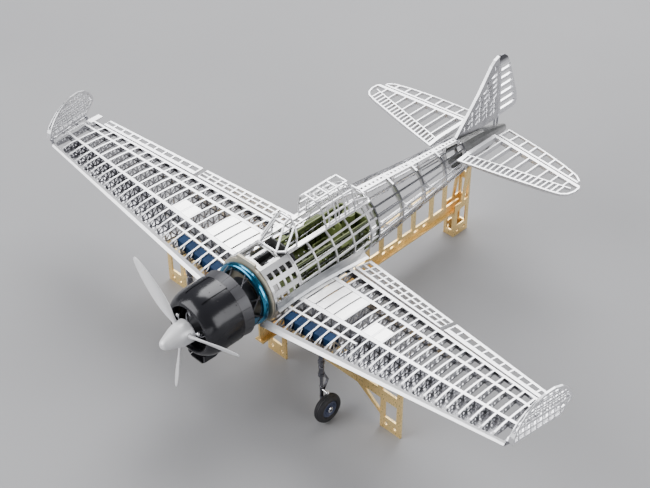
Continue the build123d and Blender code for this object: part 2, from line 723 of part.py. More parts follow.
with BuildPart() as cowling:
    with BuildSketch(AXIS_PLANE):
        with BuildLine():
            Polyline((COWL_REAR_Y, 18.1), (COWL_REAR_Y, COWL_RADIUS), (-111, COWL_RADIUS))
            Spline((-111, COWL_RADIUS), (-119.5, 17.9), (COWL_FRONT_Y, 14.2), tangents=((-1, 0), (-0.25, -1)))
            Spline((COWL_FRONT_Y, 14.2), (-122.9, 13.0), (-121.0, 13.1), tangents=((-0.2, -1), (1, 0.5)))
            Polyline((-121.0, 13.1), (-118.2, 16.6), (-111, 18.1), (COWL_REAR_Y, 18.1))
        make_face()
    revolve(axis=THRUST_AXIS)

with BuildPart() as cowl_flaps:
    with BuildSketch(AXIS_PLANE):
        Polygon((COWL_REAR_Y + 0.1, 17.4), (COWL_REAR_Y + 0.1, 18.1), (FLAP_RING_REAR_Y, 19.0),
                (FLAP_RING_REAR_Y, 18.3), align=None)
    revolve(axis=THRUST_AXIS)

with BuildPart() as engine_mount_ring:
    with BuildSketch(AXIS_PLANE):
        with Locations((MOUNT_RING_Y, MOUNT_RING_RADIUS)):
            RectangleRounded(4.2, 4.2, 1.9)
    revolve(axis=THRUST_AXIS)
    for i in range(8):
        angle = radians(22.5 + 45 * i)
        a = (MOUNT_RING_RADIUS * cos(angle), THRUST_Z + MOUNT_RING_RADIUS * sin(angle))
        b = (10.6 * cos(angle), THRUST_Z + 10.6 * sin(angle))
        add(rod((a[0], -84.0, a[1]), (a[0], -82.65, a[1]), 0.7))
        add(rod((a[0], -86.0, a[1]), (b[0], -92.4, b[1]), 0.6))

with BuildPart() as engine_crankcase:
    with BuildSketch(FACE_PLANE.offset(99.6)):
        Circle(6.4)
    extrude(amount=18)
    with BuildSketch(FACE_PLANE.offset(84.6)):
        Circle(9.6)
    extrude(amount=12)
    with BuildSketch(FACE_PLANE.offset(96.5)):
        Circle(16.8)
    extrude(amount=1.2)
    with BuildSketch(FACE_PLANE.offset(97.6)):
        Circle(8.0)
    extrude(amount=2.1)
    with BuildSketch(FACE_PLANE.offset(117.6)):
        Circle(4.6)
    with BuildSketch(FACE_PLANE.offset(122.4)):
        Circle(2.8)
    loft()
    with BuildSketch(FACE_PLANE.offset(108)):
        Circle(1.26)
    extrude(amount=20, mode=Mode.SUBTRACT)

with BuildPart() as engine_cylinders:
    for row_y, turn in ((-113.0, 0.0), (-105.0, 180.0 / 7)):
        for i in range(7):
            angle = radians(90 + turn + i * 360 / 7)
            direction = (cos(angle), 0, sin(angle))
            base = Plane(origin=(0, row_y, THRUST_Z), x_dir=(0, 1, 0), z_dir=direction)
            for level, radius, high in ((6.42, 1.9, 7.9), (7.6, 2.7, 0.4), (8.7, 2.7, 0.4), (9.8, 2.7, 0.4),
                                        (10.9, 2.7, 0.4), (12.0, 2.7, 0.4), (13.1, 2.5, 2.3)):
                with BuildSketch(base.offset(level)):
                    Circle(radius)
                extrude(amount=high)

with BuildPart() as chin_scoop:
    scoop_wall = []
    for y, low in ((-119.6, 24.2), (-112.0, 24.6), (-99.0, 20.2)):
        half = 6.6 if y < -105 else 5.0
        scoop_wall.append([(-half, y, THRUST_Z - 14.0), (-half, y, THRUST_Z - low + 2.4),
                           (-half + 2.6, y, THRUST_Z - low), (half - 2.6, y, THRUST_Z - low),
                           (half, y, THRUST_Z - low + 2.4), (half, y, THRUST_Z - 14.0)])
    add(faceted(scoop_wall))
    with BuildSketch(FACE_PLANE.offset(95)):
        Circle(COWL_RADIUS + 0.03)
    extrude(amount=30, mode=Mode.SUBTRACT)
    with BuildSketch(FACE_PLANE.offset(105)):
        with Locations((0, -20.6)):
            Rectangle(10.6, 5.4)
    extrude(amount=20, mode=Mode.SUBTRACT)


def blade_section(t, r, chord, depth, pitch):
    """Six-sided section of a blade at a radius, turned by its pitch."""
    out = (-sin(t), 0.0, cos(t))
    flat = (cos(t), 0.0, sin(t))
    outline = [(-0.5, 0.0), (-0.2, 0.5), (0.25, 0.4), (0.5, 0.0), (0.25, -0.4), (-0.2, -0.5)]
    points = []
    for u, w in outline:
        a = u * chord * cos(radians(pitch)) - w * depth * sin(radians(pitch))
        b = u * chord * sin(radians(pitch)) + w * depth * cos(radians(pitch))
        points.append((out[0] * r + flat[0] * a, PROP_Y + b, THRUST_Z + out[2] * r + flat[2] * a))
    return points


BLADE = [(6.9, 2.2, 1.9, 55), (10.5, 3.6, 1.7, 50), (16.0, 5.4, 1.35, 43), (23.0, 6.4, 1.1, 36),
         (31.0, 6.2, 0.9, 30), (38.0, 5.2, 0.7, 26), (42.5, 3.8, 0.5, 23), (PROP_RADIUS, 1.4, 0.3, 22)]
with BuildPart() as propeller:
    with BuildSketch(FACE_PLANE.offset(125.2)):
        Circle(3.0)
        Circle(1.2, mode=Mode.SUBTRACT)
    extrude(amount=5.2)
    for turn in (0, 120, 240):
        t = radians(PROP_ANGLE - turn)
        add(rod((-2.4 * sin(t), PROP_Y, THRUST_Z + 2.4 * cos(t)), (-7.4 * sin(t), PROP_Y, THRUST_Z + 7.4 * cos(t)), 1.2))
        add(faceted([blade_section(t, *row) for row in BLADE]))

with BuildPart() as spinner:
    with BuildSketch(AXIS_PLANE):
        with BuildLine():
            Spline((NOSE_Y, 0), (-138.2, 3.5), (-132.0, 5.8), (-124.4, SPINNER_RADIUS), tangents=((0, 1), (1, 0.08)))
            Polyline((-124.4, SPINNER_RADIUS), (-123.8, SPINNER_RADIUS - 0.4), (-123.8, 0), (NOSE_Y, 0))
        make_face()
    revolve(axis=THRUST_AXIS)
    with BuildSketch(FACE_PLANE.offset(123.0)):
        Circle(3.05)
    extrude(amount=8.0, mode=Mode.SUBTRACT)
    for turn in (0, 120, 240):
        t = radians(PROP_ANGLE - turn)
        add(rod((0, PROP_Y, THRUST_Z), (-9 * sin(t), PROP_Y, THRUST_Z + 9 * cos(t)), 1.5), mode=Mode.SUBTRACT)

with BuildPart() as propeller_shaft:
    with BuildSketch(FACE_PLANE.offset(109)):
        Circle(1.2)
    extrude(amount=21.4)

# ---------------------------------------------------------------- tail surfaces
STAB_OUTLINE = [(10.4, 74.2), (30.0, 78.2), (50.0, 82.6), (65.0, 86.2), (73.0, 88.8), (76.2, 92.0), (77.6, 96.5),
                (77.4, 101.0), (74.5, 106.2), (69.5, 110.0), (58.0, 113.2), (41.7, 116.2), (25.0, 118.6), (10.4, 120.2)]


def stab_hinge_y(x):
    return 109.2 - (x - 11.6) * 0.089


def stab_ladder_y(x):
    return 81.8 + (x - 13.3) * 0.258


def stab_block(x0, x1):
    """Tapered flat body of the tailplane between two stations."""
    sections = []
    for x in (x0, x1):
        half = 1.65 - (x - 10) * 0.0135
        sections.append([(x, 70.0, STAB_Z), (x, 84.0, STAB_Z + half), (x, 108.0, STAB_Z + half),
                         (x, 124.0, STAB_Z + 0.25), (x, 124.0, STAB_Z - 0.25), (x, 108.0, STAB_Z - half),
                         (x, 84.0, STAB_Z - half)])
    return faceted(sections)


def chord_bar(x, width, y0, y1):
    return [(x - width / 2, y0), (x + width / 2, y0), (x + width / 2, y1), (x - width / 2, y1)]


def slanted(f, x0, x1, near, far):
    """Plan strip along a line y = f(x), from near to far of it."""
    return [(x0, f(x0) + near), (x1, f(x1) + near), (x1, f(x1) + far), (x0, f(x0) + far)]


with BuildPart() as stabilizer_left:
    with BuildSketch(Plane.XY.offset(60)):
        Polygon(*STAB_OUTLINE, align=None)
        offset(amount=-1.0, kind=Kind.INTERSECTION, mode=Mode.SUBTRACT)
        Polygon(*slanted(stab_hinge_y, 10.4, 78, -2.6, -0.6), align=None)
        Polygon(*slanted(stab_ladder_y, 10.4, 74, -0.35, 0.35), align=None)
        Polygon(*chord_bar(11.6, 2.4, 74.6, 109), align=None)
        for i in range(8):
            x = 17.5 + i * 7.4
            Polygon(*chord_bar(x, 0.8, stab_ladder_y(x), stab_hinge_y(x) - 1), align=None)
        for i in range(19):
            x = 14.5 + i * 3.1
            Polygon(*chord_bar(x, 0.8, 74.2 + (x - 10.4) * 0.208, stab_ladder_y(x)), align=None)
        Polygon(*STAB_OUTLINE, align=None, mode=Mode.INTERSECT)
        Polygon((5, stab_hinge_y(5) - 0.6), (85, stab_hinge_y(85) - 0.6), (85, 130), (5, 130), align=None,
                mode=Mode.SUBTRACT)
    extrude(amount=12)
    add(stab_block(5, 80), mode=Mode.INTERSECT)

ELEVATOR_GAP = 0.5
with BuildPart() as elevator_left:
    with BuildSketch(Plane.XY.offset(60)):
        Polygon(*STAB_OUTLINE, align=None)
        offset(amount=-1.0, kind=Kind.INTERSECTION, mode=Mode.SUBTRACT)
        Polygon(*slanted(stab_hinge_y, 12, 78, ELEVATOR_GAP, ELEVATOR_GAP + 1.2), align=None)
        for i in range(8):
            x = 13.2 + i * 7.6
            Polygon(*chord_bar(x, 1.0, stab_hinge_y(x) + 0.8, 121), align=None)
        Polygon(*STAB_OUTLINE, align=None, mode=Mode.INTERSECT)
        Polygon((5, stab_hinge_y(5) + ELEVATOR_GAP), (85, stab_hinge_y(85) + ELEVATOR_GAP), (85, 60), (5, 60), align=None,
                mode=Mode.SUBTRACT)
        Polygon((0, 60), (12.6, 60), (12.6, 125), (0, 125), align=None, mode=Mode.SUBTRACT)
        Polygon((73.5, 60), (90, 60), (90, 125), (73.5, 125), align=None, mode=Mode.SUBTRACT)
    extrude(amount=12)
    add(stab_block(5, 80), mode=Mode.INTERSECT)

FIN_OUTLINE = [(84.8, 71.8), (84.8, 72.4), (103.0, 93.4), (113.6, 108.0), (116.5, 110.8), (120.2, 112.2),
               (123.6, 68.25), (108.0, 68.25)]
RUDDER_OUTLINE = [(124.9, 69.2), (121.4, 112.2), (124.8, 112.0), (128.2, 109.2), (130.8, 104.4), (136.0, 91.0),
                  (140.6, 78.2), (TAIL_Y, 72.6), (140.8, 70.6), (138.0, 69.6)]
with BuildPart() as fin:
    with BuildSketch(Plane.YZ.offset(-0.9)):
        Polygon(*FIN_OUTLINE, align=None)
        for row in range(9):
            z0 = 73.4 + row * 3.75
            z1 = z0 + 3.0
            ya = 88.6 + (z1 - 73.4) * 0.845
            yb = 122.2 - (z0 - 70) * 0.08
            count = max(int((yb - ya) / 3.4), 1)
            step = (yb - ya) / count
            for i in range(count):
                near = ya + i * step
                far = near + step - 0.75
                if (i + row) % 2:
                    Polygon((near, z0), (far, z0), (far, z1), align=None, mode=Mode.SUBTRACT)
                else:
                    Polygon((near, z0), (far, z1), (near, z1), align=None, mode=Mode.SUBTRACT)
    extrude(amount=1.8)

with BuildPart() as rudder:
    with BuildSketch(Plane.YZ.offset(-0.7)):
        Polygon(*RUDDER_OUTLINE, align=None)
        for i in range(6):
            z = 75.0 + i * 5.6
            y0 = 126.0 - (z - 70) * 0.082
            y1 = 139.6 - (z - 72) * 0.26
            Polygon((y0, z - 1.9), (y1 + 0.4, z - 1.9), (y1 - 0.8, z + 1.7), (y0 - 0.2, z + 1.7), align=None,
                    mode=Mode.SUBTRACT)
    extrude(amount=1.4)

with BuildPart() as rudder_post:
    add(rod((0, 124.35, 62.8), (0, 124.35, 68.9), 0.6))
    add(rod((0, 121.4, 63.6), (0, 121.4, 68.15), 0.6))

# ---------------------------------------------------------------- undercarriage
AXLE_Z = WHEEL_RADIUS + 0.5
LEG_X = WHEEL_X - WHEEL_WIDTH - 1.5
with BuildPart() as gear_legs:
    add(rod((LEG_X, WHEEL_Y, 30), (LEG_X, WHEEL_Y, 51.6), 1.5))
    add(rod((LEG_X, WHEEL_Y, AXLE_Z - 1.0), (LEG_X, WHEEL_Y, 31), 0.95))
    add(rod((LEG_X - 0.9, WHEEL_Y, AXLE_Z), (WHEEL_X - 0.4, WHEEL_Y, AXLE_Z), 0.7))
    with Locations((LEG_X, WHEEL_Y, AXLE_Z)):
        Cylinder(1.4, 2.4, rotation=(0, 90, 0))
    with Locations((LEG_X, WHEEL_Y, 40.0)):
        Cylinder(1.9, 1.6)
    with Locations((LEG_X, WHEEL_Y, 31.0)):
        Cylinder(1.9, 1.8)
    add(bar((LEG_X, WHEEL_Y + 1.2, 31.0), (LEG_X, WHEEL_Y + 4.6, 24.0), 1.1))
    add(bar((LEG_X, WHEEL_Y + 4.6, 24.6), (LEG_X, WHEEL_Y + 0.4, 17.2), 1.1))
    add(bar((LEG_X, WHEEL_Y, 44.0), (LEG_X - 7.0, WHEEL_Y, 50.6), 1.0))
    mirror(about=Plane.YZ)

WHEEL_PLANE = Plane(origin=(0, WHEEL_Y, AXLE_Z), x_dir=(1, 0, 0), z_dir=(0, -1, 0))
WHEEL_AXIS = Axis((0, WHEEL_Y, AXLE_Z), (1, 0, 0))
MID_X = WHEEL_X - WHEEL_WIDTH / 2
with BuildPart() as tyre_left:
    with BuildSketch(WHEEL_PLANE):
        with Locations((MID_X, 6.35)):
            Ellipse(WHEEL_WIDTH / 2, 2.25)
        with Locations((MID_X, 4.0)):
            Rectangle(8, 1.8, mode=Mode.SUBTRACT)
    revolve(axis=WHEEL_AXIS)
with BuildPart() as wheel_hub_left:
    with BuildSketch(WHEEL_PLANE):
        Polygon((MID_X - 1.9, 0.76), (MID_X - 1.9, 4.9), (MID_X + 1.7, 4.9), (MID_X + 1.7, 4.1), (MID_X + 0.9, 3.6),
                (MID_X + 0.9, 2.2), (MID_X + 2.2, 1.8), (MID_X + 2.2, 0.76), align=None)
    revolve(axis=WHEEL_AXIS)

# ---------------------------------------------------------------- stand
def under_wing(x):
    """Height just under the wing above the front frame of the stand."""
    c = (STAND_Y - wing_le(x)) / wing_chord(x)
    return wing_mid_z(x) + height_at(LOWER, c) * THICKNESS_RATIO * wing_chord(x) - 0.35


FOOT_INNER_X = FOOT_OUTER_X - FOOT_WIDTH
STAND_PLANE = Plane.XZ.offset(-STAND_Y - STAND_THICKNESS / 2)
with BuildPart() as stand_front_frame:
    with BuildSketch(STAND_PLANE):
        Polygon((0.65, 20.5), (FOOT_OUTER_X, 20.5), (FOOT_OUTER_X, 27.0), (0.65, 27.0), align=None)
        Polygon((FOOT_INNER_X, 0), (FOOT_OUTER_X, 0), (FOOT_OUTER_X, 8.6), (FOOT_INNER_X, 8.6), align=None)
        Polygon((FOOT_INNER_X, 0), (FOOT_INNER_X + 3, 0), (FOOT_INNER_X + 3, 24), (FOOT_INNER_X, 24), align=None)
        Polygon((FOOT_OUTER_X - 3.2, 0), (FOOT_OUTER_X, 0), (FOOT_OUTER_X, under_wing(FOOT_OUTER_X)),
                (FOOT_OUTER_X - 3.2, under_wing(FOOT_OUTER_X - 3.2)), align=None)
        Polygon((FOOT_INNER_X, 8.6), (FOOT_INNER_X + 2.6, 8.6), (58.4, 27.0), (55.0, 27.0), (55.0, 25.0), align=None)
        Polygon((40.0, 34.0), (FOOT_OUTER_X, 34.0), (FOOT_OUTER_X, 37.2), (40.0, 37.2), align=None)
        for x in (20.0, 41.0, 62.0, 77.0):
            Polygon((x - 1.3, 22), (x + 1.3, 22), (x + 1.3, under_wing(x + 1.3)), (x - 1.3, under_wing(x - 1.3)), align=None)
        Polygon((19, 26), (21.8, 26), (42.3, 46), (40.0, 47.5), align=None)
        with Locations((FOOT_INNER_X + 4.2, 4.2), (FOOT_OUTER_X - 4.2, 4.2)):
            Circle(1.3, mode=Mode.SUBTRACT)
    extrude(amount=STAND_THICKNESS)
    mirror(about=Plane.YZ)
    with BuildSketch(STAND_PLANE):
        Polygon((-7.2, 0), (7.2, 0), (7.2, 17.7), (-7.2, 17.7), align=None)
        with Locations((0, 11.8)):
            Rectangle(8.4, 7.0, mode=Mode.SUBTRACT)
        with Locations((-3.9, 4.0), (3.9, 4.0)):
            Circle(1.3, mode=Mode.SUBTRACT)
    extrude(amount=STAND_THICKNESS)


def belly(y):
    """Height just under the belly."""
    rx, rz, zc = body_at(y)
    return zc - rz - 0.1


with BuildPart() as stand_beam:
    with BuildSketch(Plane.XY.offset(17.75)):
        with Locations((0, 8.0)):
            Rectangle(6.0, 168)
    extrude(amount=1.0)
    with BuildSketch(Plane.YZ.offset(-0.6)):
        Polygon((-75, 18.0), (91.8, 18.0), (91.8, 24.0), (-75, 24.0), align=None)
        for y in (-74, -50, -20, 10, 22, 38, 50, 66, 78):
            Polygon((y - 1.6, 20), (y + 1.6, 20), (y + 1.6, belly(y + 1.6)), (y - 1.6, belly(y - 1.6)), align=None)
        for y0, y1 in ((-75, -50), (-22, 10), (20, 40), (48, 68)):
            Polygon((y0, belly(y0) - 4.0), (y1, belly(y1) - 4.0), (y1, belly(y1)), (y0, belly(y0)), align=None)
        for y in (24, 31, 38, 52, 60):
            with Locations((y, 21.4)):
                Rectangle(3.4, 1.6, mode=Mode.SUBTRACT)
    extrude(amount=1.2)

with BuildPart() as stand_trestle:
    for x in (-4.0, 3.2):
        with BuildSketch(Plane.YZ.offset(x)):
            Polygon((84.0, 0), (97.4, 0), (97.4, belly(97.4) - 0.4), (93.6, belly(93.6) - 0.4), (90.0, 24.0), (84.0, 24.0),
                    align=None)
            with Locations((90.7, 13.6)):
                Rectangle(7.6, 12.0, mode=Mode.SUBTRACT)
            with Locations((87.4, 3.8), (94.0, 3.8)):
                Circle(1.1, mode=Mode.SUBTRACT)
            Polygon((92.4, 24.5), (95.8, 24.5), (95.8, 40.0), align=None, mode=Mode.SUBTRACT)
        extrude(amount=0.8)
    with BuildSketch(Plane.XZ.offset(-85.2)):
        with Locations((0, 8.8)):
            Rectangle(6.6, 17.6)
        with Locations((0, 9.4)):
            Rectangle(4.0, 10.0, mode=Mode.SUBTRACT)
    extrude(amount=1.0)
    with BuildSketch(Plane.XZ.offset(-97.2)):
        with Locations((0, 21.0)):
            Rectangle(6.6, 42.0)
        with Locations((0, 12.0), (0, 31.0)):
            Rectangle(4.0, 12.0, mode=Mode.SUBTRACT)
    extrude(amount=1.0)

# ---------------------------------------------------------------- trim the wing roots and make the right side
LEFT_PAIRS = {"wing_upper": wing_upper_left, "wing_lower": wing_lower_left, "wing_ribs": wing_ribs_left,
              "wing_spars": wing_spars_left}
trimmed = {}
for name, piece in LEFT_PAIRS.items():
    with BuildPart() as cut:
        add(piece.part)
        add(body_clearance, mode=Mode.SUBTRACT)
    trimmed[name] = cut.part
with BuildPart() as walkway_trimmed:
    add(walkway_panels.part)
    add(body_clearance, mode=Mode.SUBTRACT)

SINGLES = {"spinner": spinner, "propeller": propeller, "propeller_shaft": propeller_shaft, "cowling": cowling,
           "cowl_flaps": cowl_flaps, "engine_crankcase": engine_crankcase, "engine_cylinders": engine_cylinders,
           "engine_mount_ring": engine_mount_ring, "chin_scoop": chin_scoop, "firewall": firewall,
           "nose_deck": nose_deck, "fuselage_side_left": fuselage_side_left, "fuselage_side_right": fuselage_side_right,
           "cockpit_sides": cockpit_sides, "fuselage_frames": fuselage_frames,
           "rear_fuselage_lattice": rear_fuselage_lattice, "dorsal_spine": dorsal_spine, "tail_cone": tail_cone,
           "root_fillets": root_fillets, "windshield_frame": windshield_frame, "canopy_sliding": canopy_sliding,
           "canopy_rear": canopy_rear, "canopy_rails": canopy_rails, "instrument_panel": instrument_panel,
           "cockpit_floor": cockpit_floor, "seat": seat, "control_stick": control_stick,
           "cockpit_equipment": cockpit_equipment, "walkway_panels": walkway_trimmed, "fuel_cells": fuel_cells,
           "fold_hinges": fold_hinges, "fin": fin, "rudder": rudder, "rudder_post": rudder_post,
           "gear_legs": gear_legs, "stand_front_frame": stand_front_frame, "stand_beam": stand_beam,
           "stand_trestle": stand_trestle}
MIRRORED = {"aileron": aileron_left, "flap": flap_left, "wingtip": wingtip_left, "stabilizer": stabilizer_left,
            "elevator": elevator_left, "tyre": tyre_left, "wheel_hub": wheel_hub_left}

finished = {name: piece.part for name, piece in SINGLES.items()}
for name, piece in MIRRORED.items():
    trimmed[name] = piece.part
for name, shape in trimmed.items():
    finished[name + "_left"] = shape
    finished[name + "_right"] = shape.mirror(Plane.YZ)

for name, shape in finished.items():
    shape.label = name
    export_step(shape, "parts/" + name + ".step")
    box = shape.bounding_box()
    print(name, len(shape.solids()), round(shape.volume, 1), [round(v, 1) for v in (*box.min, *box.max)])
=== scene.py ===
"""Looks of a skeleton display model: a radial-engined fighter with folding wing tips, on a brass stand.

Lengths in the classes are millimetres.  A piece becomes metres when it is finished.
"""

import json
import logging
from dataclasses import dataclass, field
from enum import Enum
from math import atan2, cos, pi, radians, sin
from random import Random

import bmesh
import bpy
from mathutils import Matrix, Vector


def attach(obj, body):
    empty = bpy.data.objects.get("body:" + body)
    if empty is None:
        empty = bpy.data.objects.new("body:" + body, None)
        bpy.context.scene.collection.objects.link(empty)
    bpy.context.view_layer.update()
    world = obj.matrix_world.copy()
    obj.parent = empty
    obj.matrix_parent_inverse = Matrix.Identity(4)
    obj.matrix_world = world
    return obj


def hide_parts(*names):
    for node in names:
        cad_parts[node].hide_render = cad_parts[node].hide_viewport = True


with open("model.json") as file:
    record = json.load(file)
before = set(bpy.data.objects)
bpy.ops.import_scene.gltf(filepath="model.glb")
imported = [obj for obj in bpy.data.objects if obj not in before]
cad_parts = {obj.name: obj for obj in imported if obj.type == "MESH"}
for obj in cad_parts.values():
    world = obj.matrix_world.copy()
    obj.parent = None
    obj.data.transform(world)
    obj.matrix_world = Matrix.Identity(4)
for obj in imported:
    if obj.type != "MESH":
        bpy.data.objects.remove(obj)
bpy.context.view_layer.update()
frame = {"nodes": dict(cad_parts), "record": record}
log = logging.getLogger("skeleton_model")

MM = 0.001
Triple = tuple[float, float, float]

PATCH_STOPS = (0.34, 0.66)
PATCH_DETAIL = 4.0
GRAIN_DETAIL = 3.0
GRAIN_RANGE = (0.3, 0.7)
WEAR_DETAIL = 8.0
WEAR_CENTRE = 0.5
WEAR_SPREAD = 0.22
WEAR_EDGE = 0.03
NOISE_ROUGHNESS = 0.6
COAT_ROUGHNESS = 0.08
SHARP_ANGLE = 32
BEVEL_ANGLE = 40
BEVEL_SEGMENTS = 2
WELD_DISTANCE = 0.002


# ---------------------------------------------------------------- finishes
@dataclass(frozen=True)
class Finish:
    """A surface finish, built from shader nodes on Object coordinates."""

    name: str
    base: Triple
    tint: Triple
    metallic: float
    roughness: tuple[float, float]
    patch: float = 70.0
    grain: float = 2600.0
    stretch: Triple = (1.0, 1.0, 1.0)
    bump: float = 0.12
    depth: float = 0.00004
    coat: float = 0.0
    shine: float = 0.5
    worn: Triple | None = None
    worn_share: float = 0.0
    worn_scale: float = 420.0
    fade: tuple[str, float, float, Triple] | None = None

    def material(self) -> bpy.types.Material:
        """Builds the material, once.

        Returns:
            The material of this finish.
        """
        ready = bpy.data.materials.get(self.name)
        if ready:
            return ready
        made = bpy.data.materials.new(self.name)
        made.use_nodes = True
        tree = made.node_tree
        shader = tree.nodes["Principled BSDF"]
        shader.inputs["Coat Weight"].default_value = self.coat
        shader.inputs["Coat Roughness"].default_value = COAT_ROUGHNESS
        shader.inputs["Specular IOR Level"].default_value = self.shine
        place = tree.nodes.new("ShaderNodeTexCoord")
        turn = tree.nodes.new("ShaderNodeMapping")
        turn.inputs["Scale"].default_value = self.stretch
        tree.links.new(place.outputs["Object"], turn.inputs["Vector"])
        patches = self._noise(tree, turn, self.patch, PATCH_DETAIL)
        ramp = self._ramp(tree, patches, tuple(zip(PATCH_STOPS, (self.base, self.tint))))
        colour = ramp.outputs["Color"]
        if self.fade:
            colour = self._faded(tree, place, colour)
        self._metal_and_colour(tree, shader, turn, colour)
        grain = self._noise(tree, turn, self.grain, GRAIN_DETAIL)
        rough = tree.nodes.new("ShaderNodeMapRange")
        rough.inputs["From Min"].default_value, rough.inputs["From Max"].default_value = GRAIN_RANGE
        rough.inputs["To Min"].default_value, rough.inputs["To Max"].default_value = self.roughness
        tree.links.new(grain.outputs["Fac"], rough.inputs["Value"])
        tree.links.new(rough.outputs["Result"], shader.inputs["Roughness"])
        relief = tree.nodes.new("ShaderNodeBump")
        relief.inputs["Strength"].default_value = self.bump
        relief.inputs["Distance"].default_value = self.depth
        tree.links.new(grain.outputs["Fac"], relief.inputs["Height"])
        tree.links.new(relief.outputs["Normal"], shader.inputs["Normal"])
        return made

    def _faded(self, tree: bpy.types.NodeTree, place: bpy.types.Node,
               colour: bpy.types.NodeSocket) -> bpy.types.NodeSocket:
        """Turns the colour to another one between two distances along an axis, in millimetres.

        Args:
            tree: node tree of the material.
            place: the texture coordinate node.
            colour: the colour before the fade.

        Returns:
            The colour with its fade.
        """
        axis, start, end, other = self.fade
        parts = tree.nodes.new("ShaderNodeSeparateXYZ")
        tree.links.new(place.outputs["Object"], parts.inputs["Vector"])
        share = tree.nodes.new("ShaderNodeMapRange")
        share.inputs["From Min"].default_value = start * MM
        share.inputs["From Max"].default_value = end * MM
        tree.links.new(parts.outputs[axis], share.inputs["Value"])
        mix = tree.nodes.new("ShaderNodeMix")
        mix.data_type = "RGBA"
        tree.links.new(share.outputs["Result"], mix.inputs["Factor"])
        tree.links.new(colour, mix.inputs["A"])
        mix.inputs["B"].default_value = (*other, 1.0)
        return mix.outputs["Result"]

    def _metal_and_colour(self, tree: bpy.types.NodeTree, shader: bpy.types.Node, turn: bpy.types.Node,
                          colour: bpy.types.NodeSocket) -> None:
        """Joins colour and metal to the shader, with worn spots where the finish has them.

        Args:
            tree: node tree of the material.
            shader: the surface shader.
            turn: the mapping node that the patterns read.
            colour: the colour without wear.
        """
        if self.worn is None:
            shader.inputs["Metallic"].default_value = self.metallic
            tree.links.new(colour, shader.inputs["Base Color"])
            return
        spots = self._noise(tree, turn, self.worn_scale, WEAR_DETAIL)
        edge = WEAR_CENTRE + WEAR_SPREAD * (1.0 - self.worn_share * 2.0)
        mask = self._ramp(tree, spots, ((edge, (0.0, 0.0, 0.0)), (edge + WEAR_EDGE, (1.0, 1.0, 1.0))))
        mix = tree.nodes.new("ShaderNodeMix")
        mix.data_type = "RGBA"
        tree.links.new(mask.outputs["Color"], mix.inputs["Factor"])
        tree.links.new(colour, mix.inputs["A"])
        mix.inputs["B"].default_value = (*self.worn, 1.0)
        tree.links.new(mix.outputs["Result"], shader.inputs["Base Color"])
        metal = tree.nodes.new("ShaderNodeMapRange")
        metal.inputs["To Min"].default_value = self.metallic
        metal.inputs["To Max"].default_value = 1.0
        tree.links.new(mask.outputs["Color"], metal.inputs["Value"])
        tree.links.new(metal.outputs["Result"], shader.inputs["Metallic"])

    def _noise(self, tree: bpy.types.NodeTree, turn: bpy.types.Node, scale: float,
               detail: float) -> bpy.types.Node:
        """A noise texture at a scale per metre.

        Args:
            tree: node tree of the material.
            turn: the mapping node that it reads.
            scale: size of the pattern, per metre.
            detail: how many finer layers it has.

        Returns:
            The noise node.
        """
        node = tree.nodes.new("ShaderNodeTexNoise")
        node.inputs["Scale"].default_value = scale
        node.inputs["Detail"].default_value = detail
        node.inputs["Roughness"].default_value = NOISE_ROUGHNESS
        tree.links.new(turn.outputs["Vector"], node.inputs["Vector"])
        return node

    def _ramp(self, tree: bpy.types.NodeTree, source: bpy.types.Node,
              stops: tuple[tuple[float, Triple], ...]) -> bpy.types.Node:
        """A colour ramp between two stops, fed by a noise.

        Args:
            tree: node tree of the material.
            source: the noise node.
            stops: pairs of position and colour.

        Returns:
            The ramp node.
        """
        node = tree.nodes.new("ShaderNodeValToRGB")
        for element, (place, colour) in zip(node.color_ramp.elements, stops):
            element.position = place
            element.color = (*colour, 1.0)
        tree.links.new(source.outputs["Fac"], node.inputs["Fac"])
        return node


ETCHED = Finish("etched_steel", (0.74, 0.74, 0.76), (0.56, 0.56, 0.59), 1.0, (0.18, 0.34), 90.0, 2200.0, bump=0.18)
# Painted shade: a darker copy of the etched steel, for the wing ribs and lower wing layers that sit under the upper
# skins.
RIB_STEEL_PAINTED_SHADE = Finish("rib_steel_painted_shade", (0.48, 0.48, 0.50), (0.34, 0.34, 0.36), 1.0, (0.22, 0.38), 120.0, 2200.0, bump=0.18)
DARK_STEEL = Finish("dark_steel", (0.20, 0.20, 0.22), (0.13, 0.13, 0.15), 1.0, (0.18, 0.34), 120.0, 2200.0, bump=0.12)
FRAME_STEEL = Finish("frame_steel", (0.66, 0.66, 0.68), (0.48, 0.48, 0.50), 1.0, (0.16, 0.30), 120.0, 2200.0,
                     bump=0.12)
WHITE_METAL = Finish("white_metal", (0.97, 0.97, 0.96), (0.88, 0.88, 0.89), 0.6, (0.32, 0.46), 60.0, 1800.0,
                     (0.25, 1.0, 1.0))
SATIN_SILVER = Finish("satin_silver", (0.98, 0.98, 0.99), (0.92, 0.92, 0.95), 0.60, (0.18, 0.26), 50.0, 3200.0,
                      bump=0.06)
GLOSS_BLACK = Finish("gloss_black", (0.005, 0.005, 0.006), (0.010, 0.010, 0.011), 0.0, (0.30, 0.42), 60.0, 1500.0,
                     bump=0.05, shine=0.28)
DARK_GREY = Finish("dark_grey", (0.012, 0.012, 0.015), (0.024, 0.024, 0.029), 0.1, (0.38, 0.55), 120.0, 2600.0)
RING_BLUE = Finish("ring_blue", (0.02, 0.16, 0.30), (0.06, 0.32, 0.50), 0.95, (0.14, 0.28), 120.0, 1700.0, bump=0.08,
                   coat=0.4)
CELL_BLUE = Finish("cell_blue", (0.003, 0.018, 0.055), (0.006, 0.032, 0.09), 0.0, (0.45, 0.62), 160.0, 2400.0,
                   shine=0.12)
BRONZE = Finish("bronze_plate", (0.17, 0.145, 0.10), (0.12, 0.10, 0.07), 0.7, (0.36, 0.5), 130.0, 2200.0)
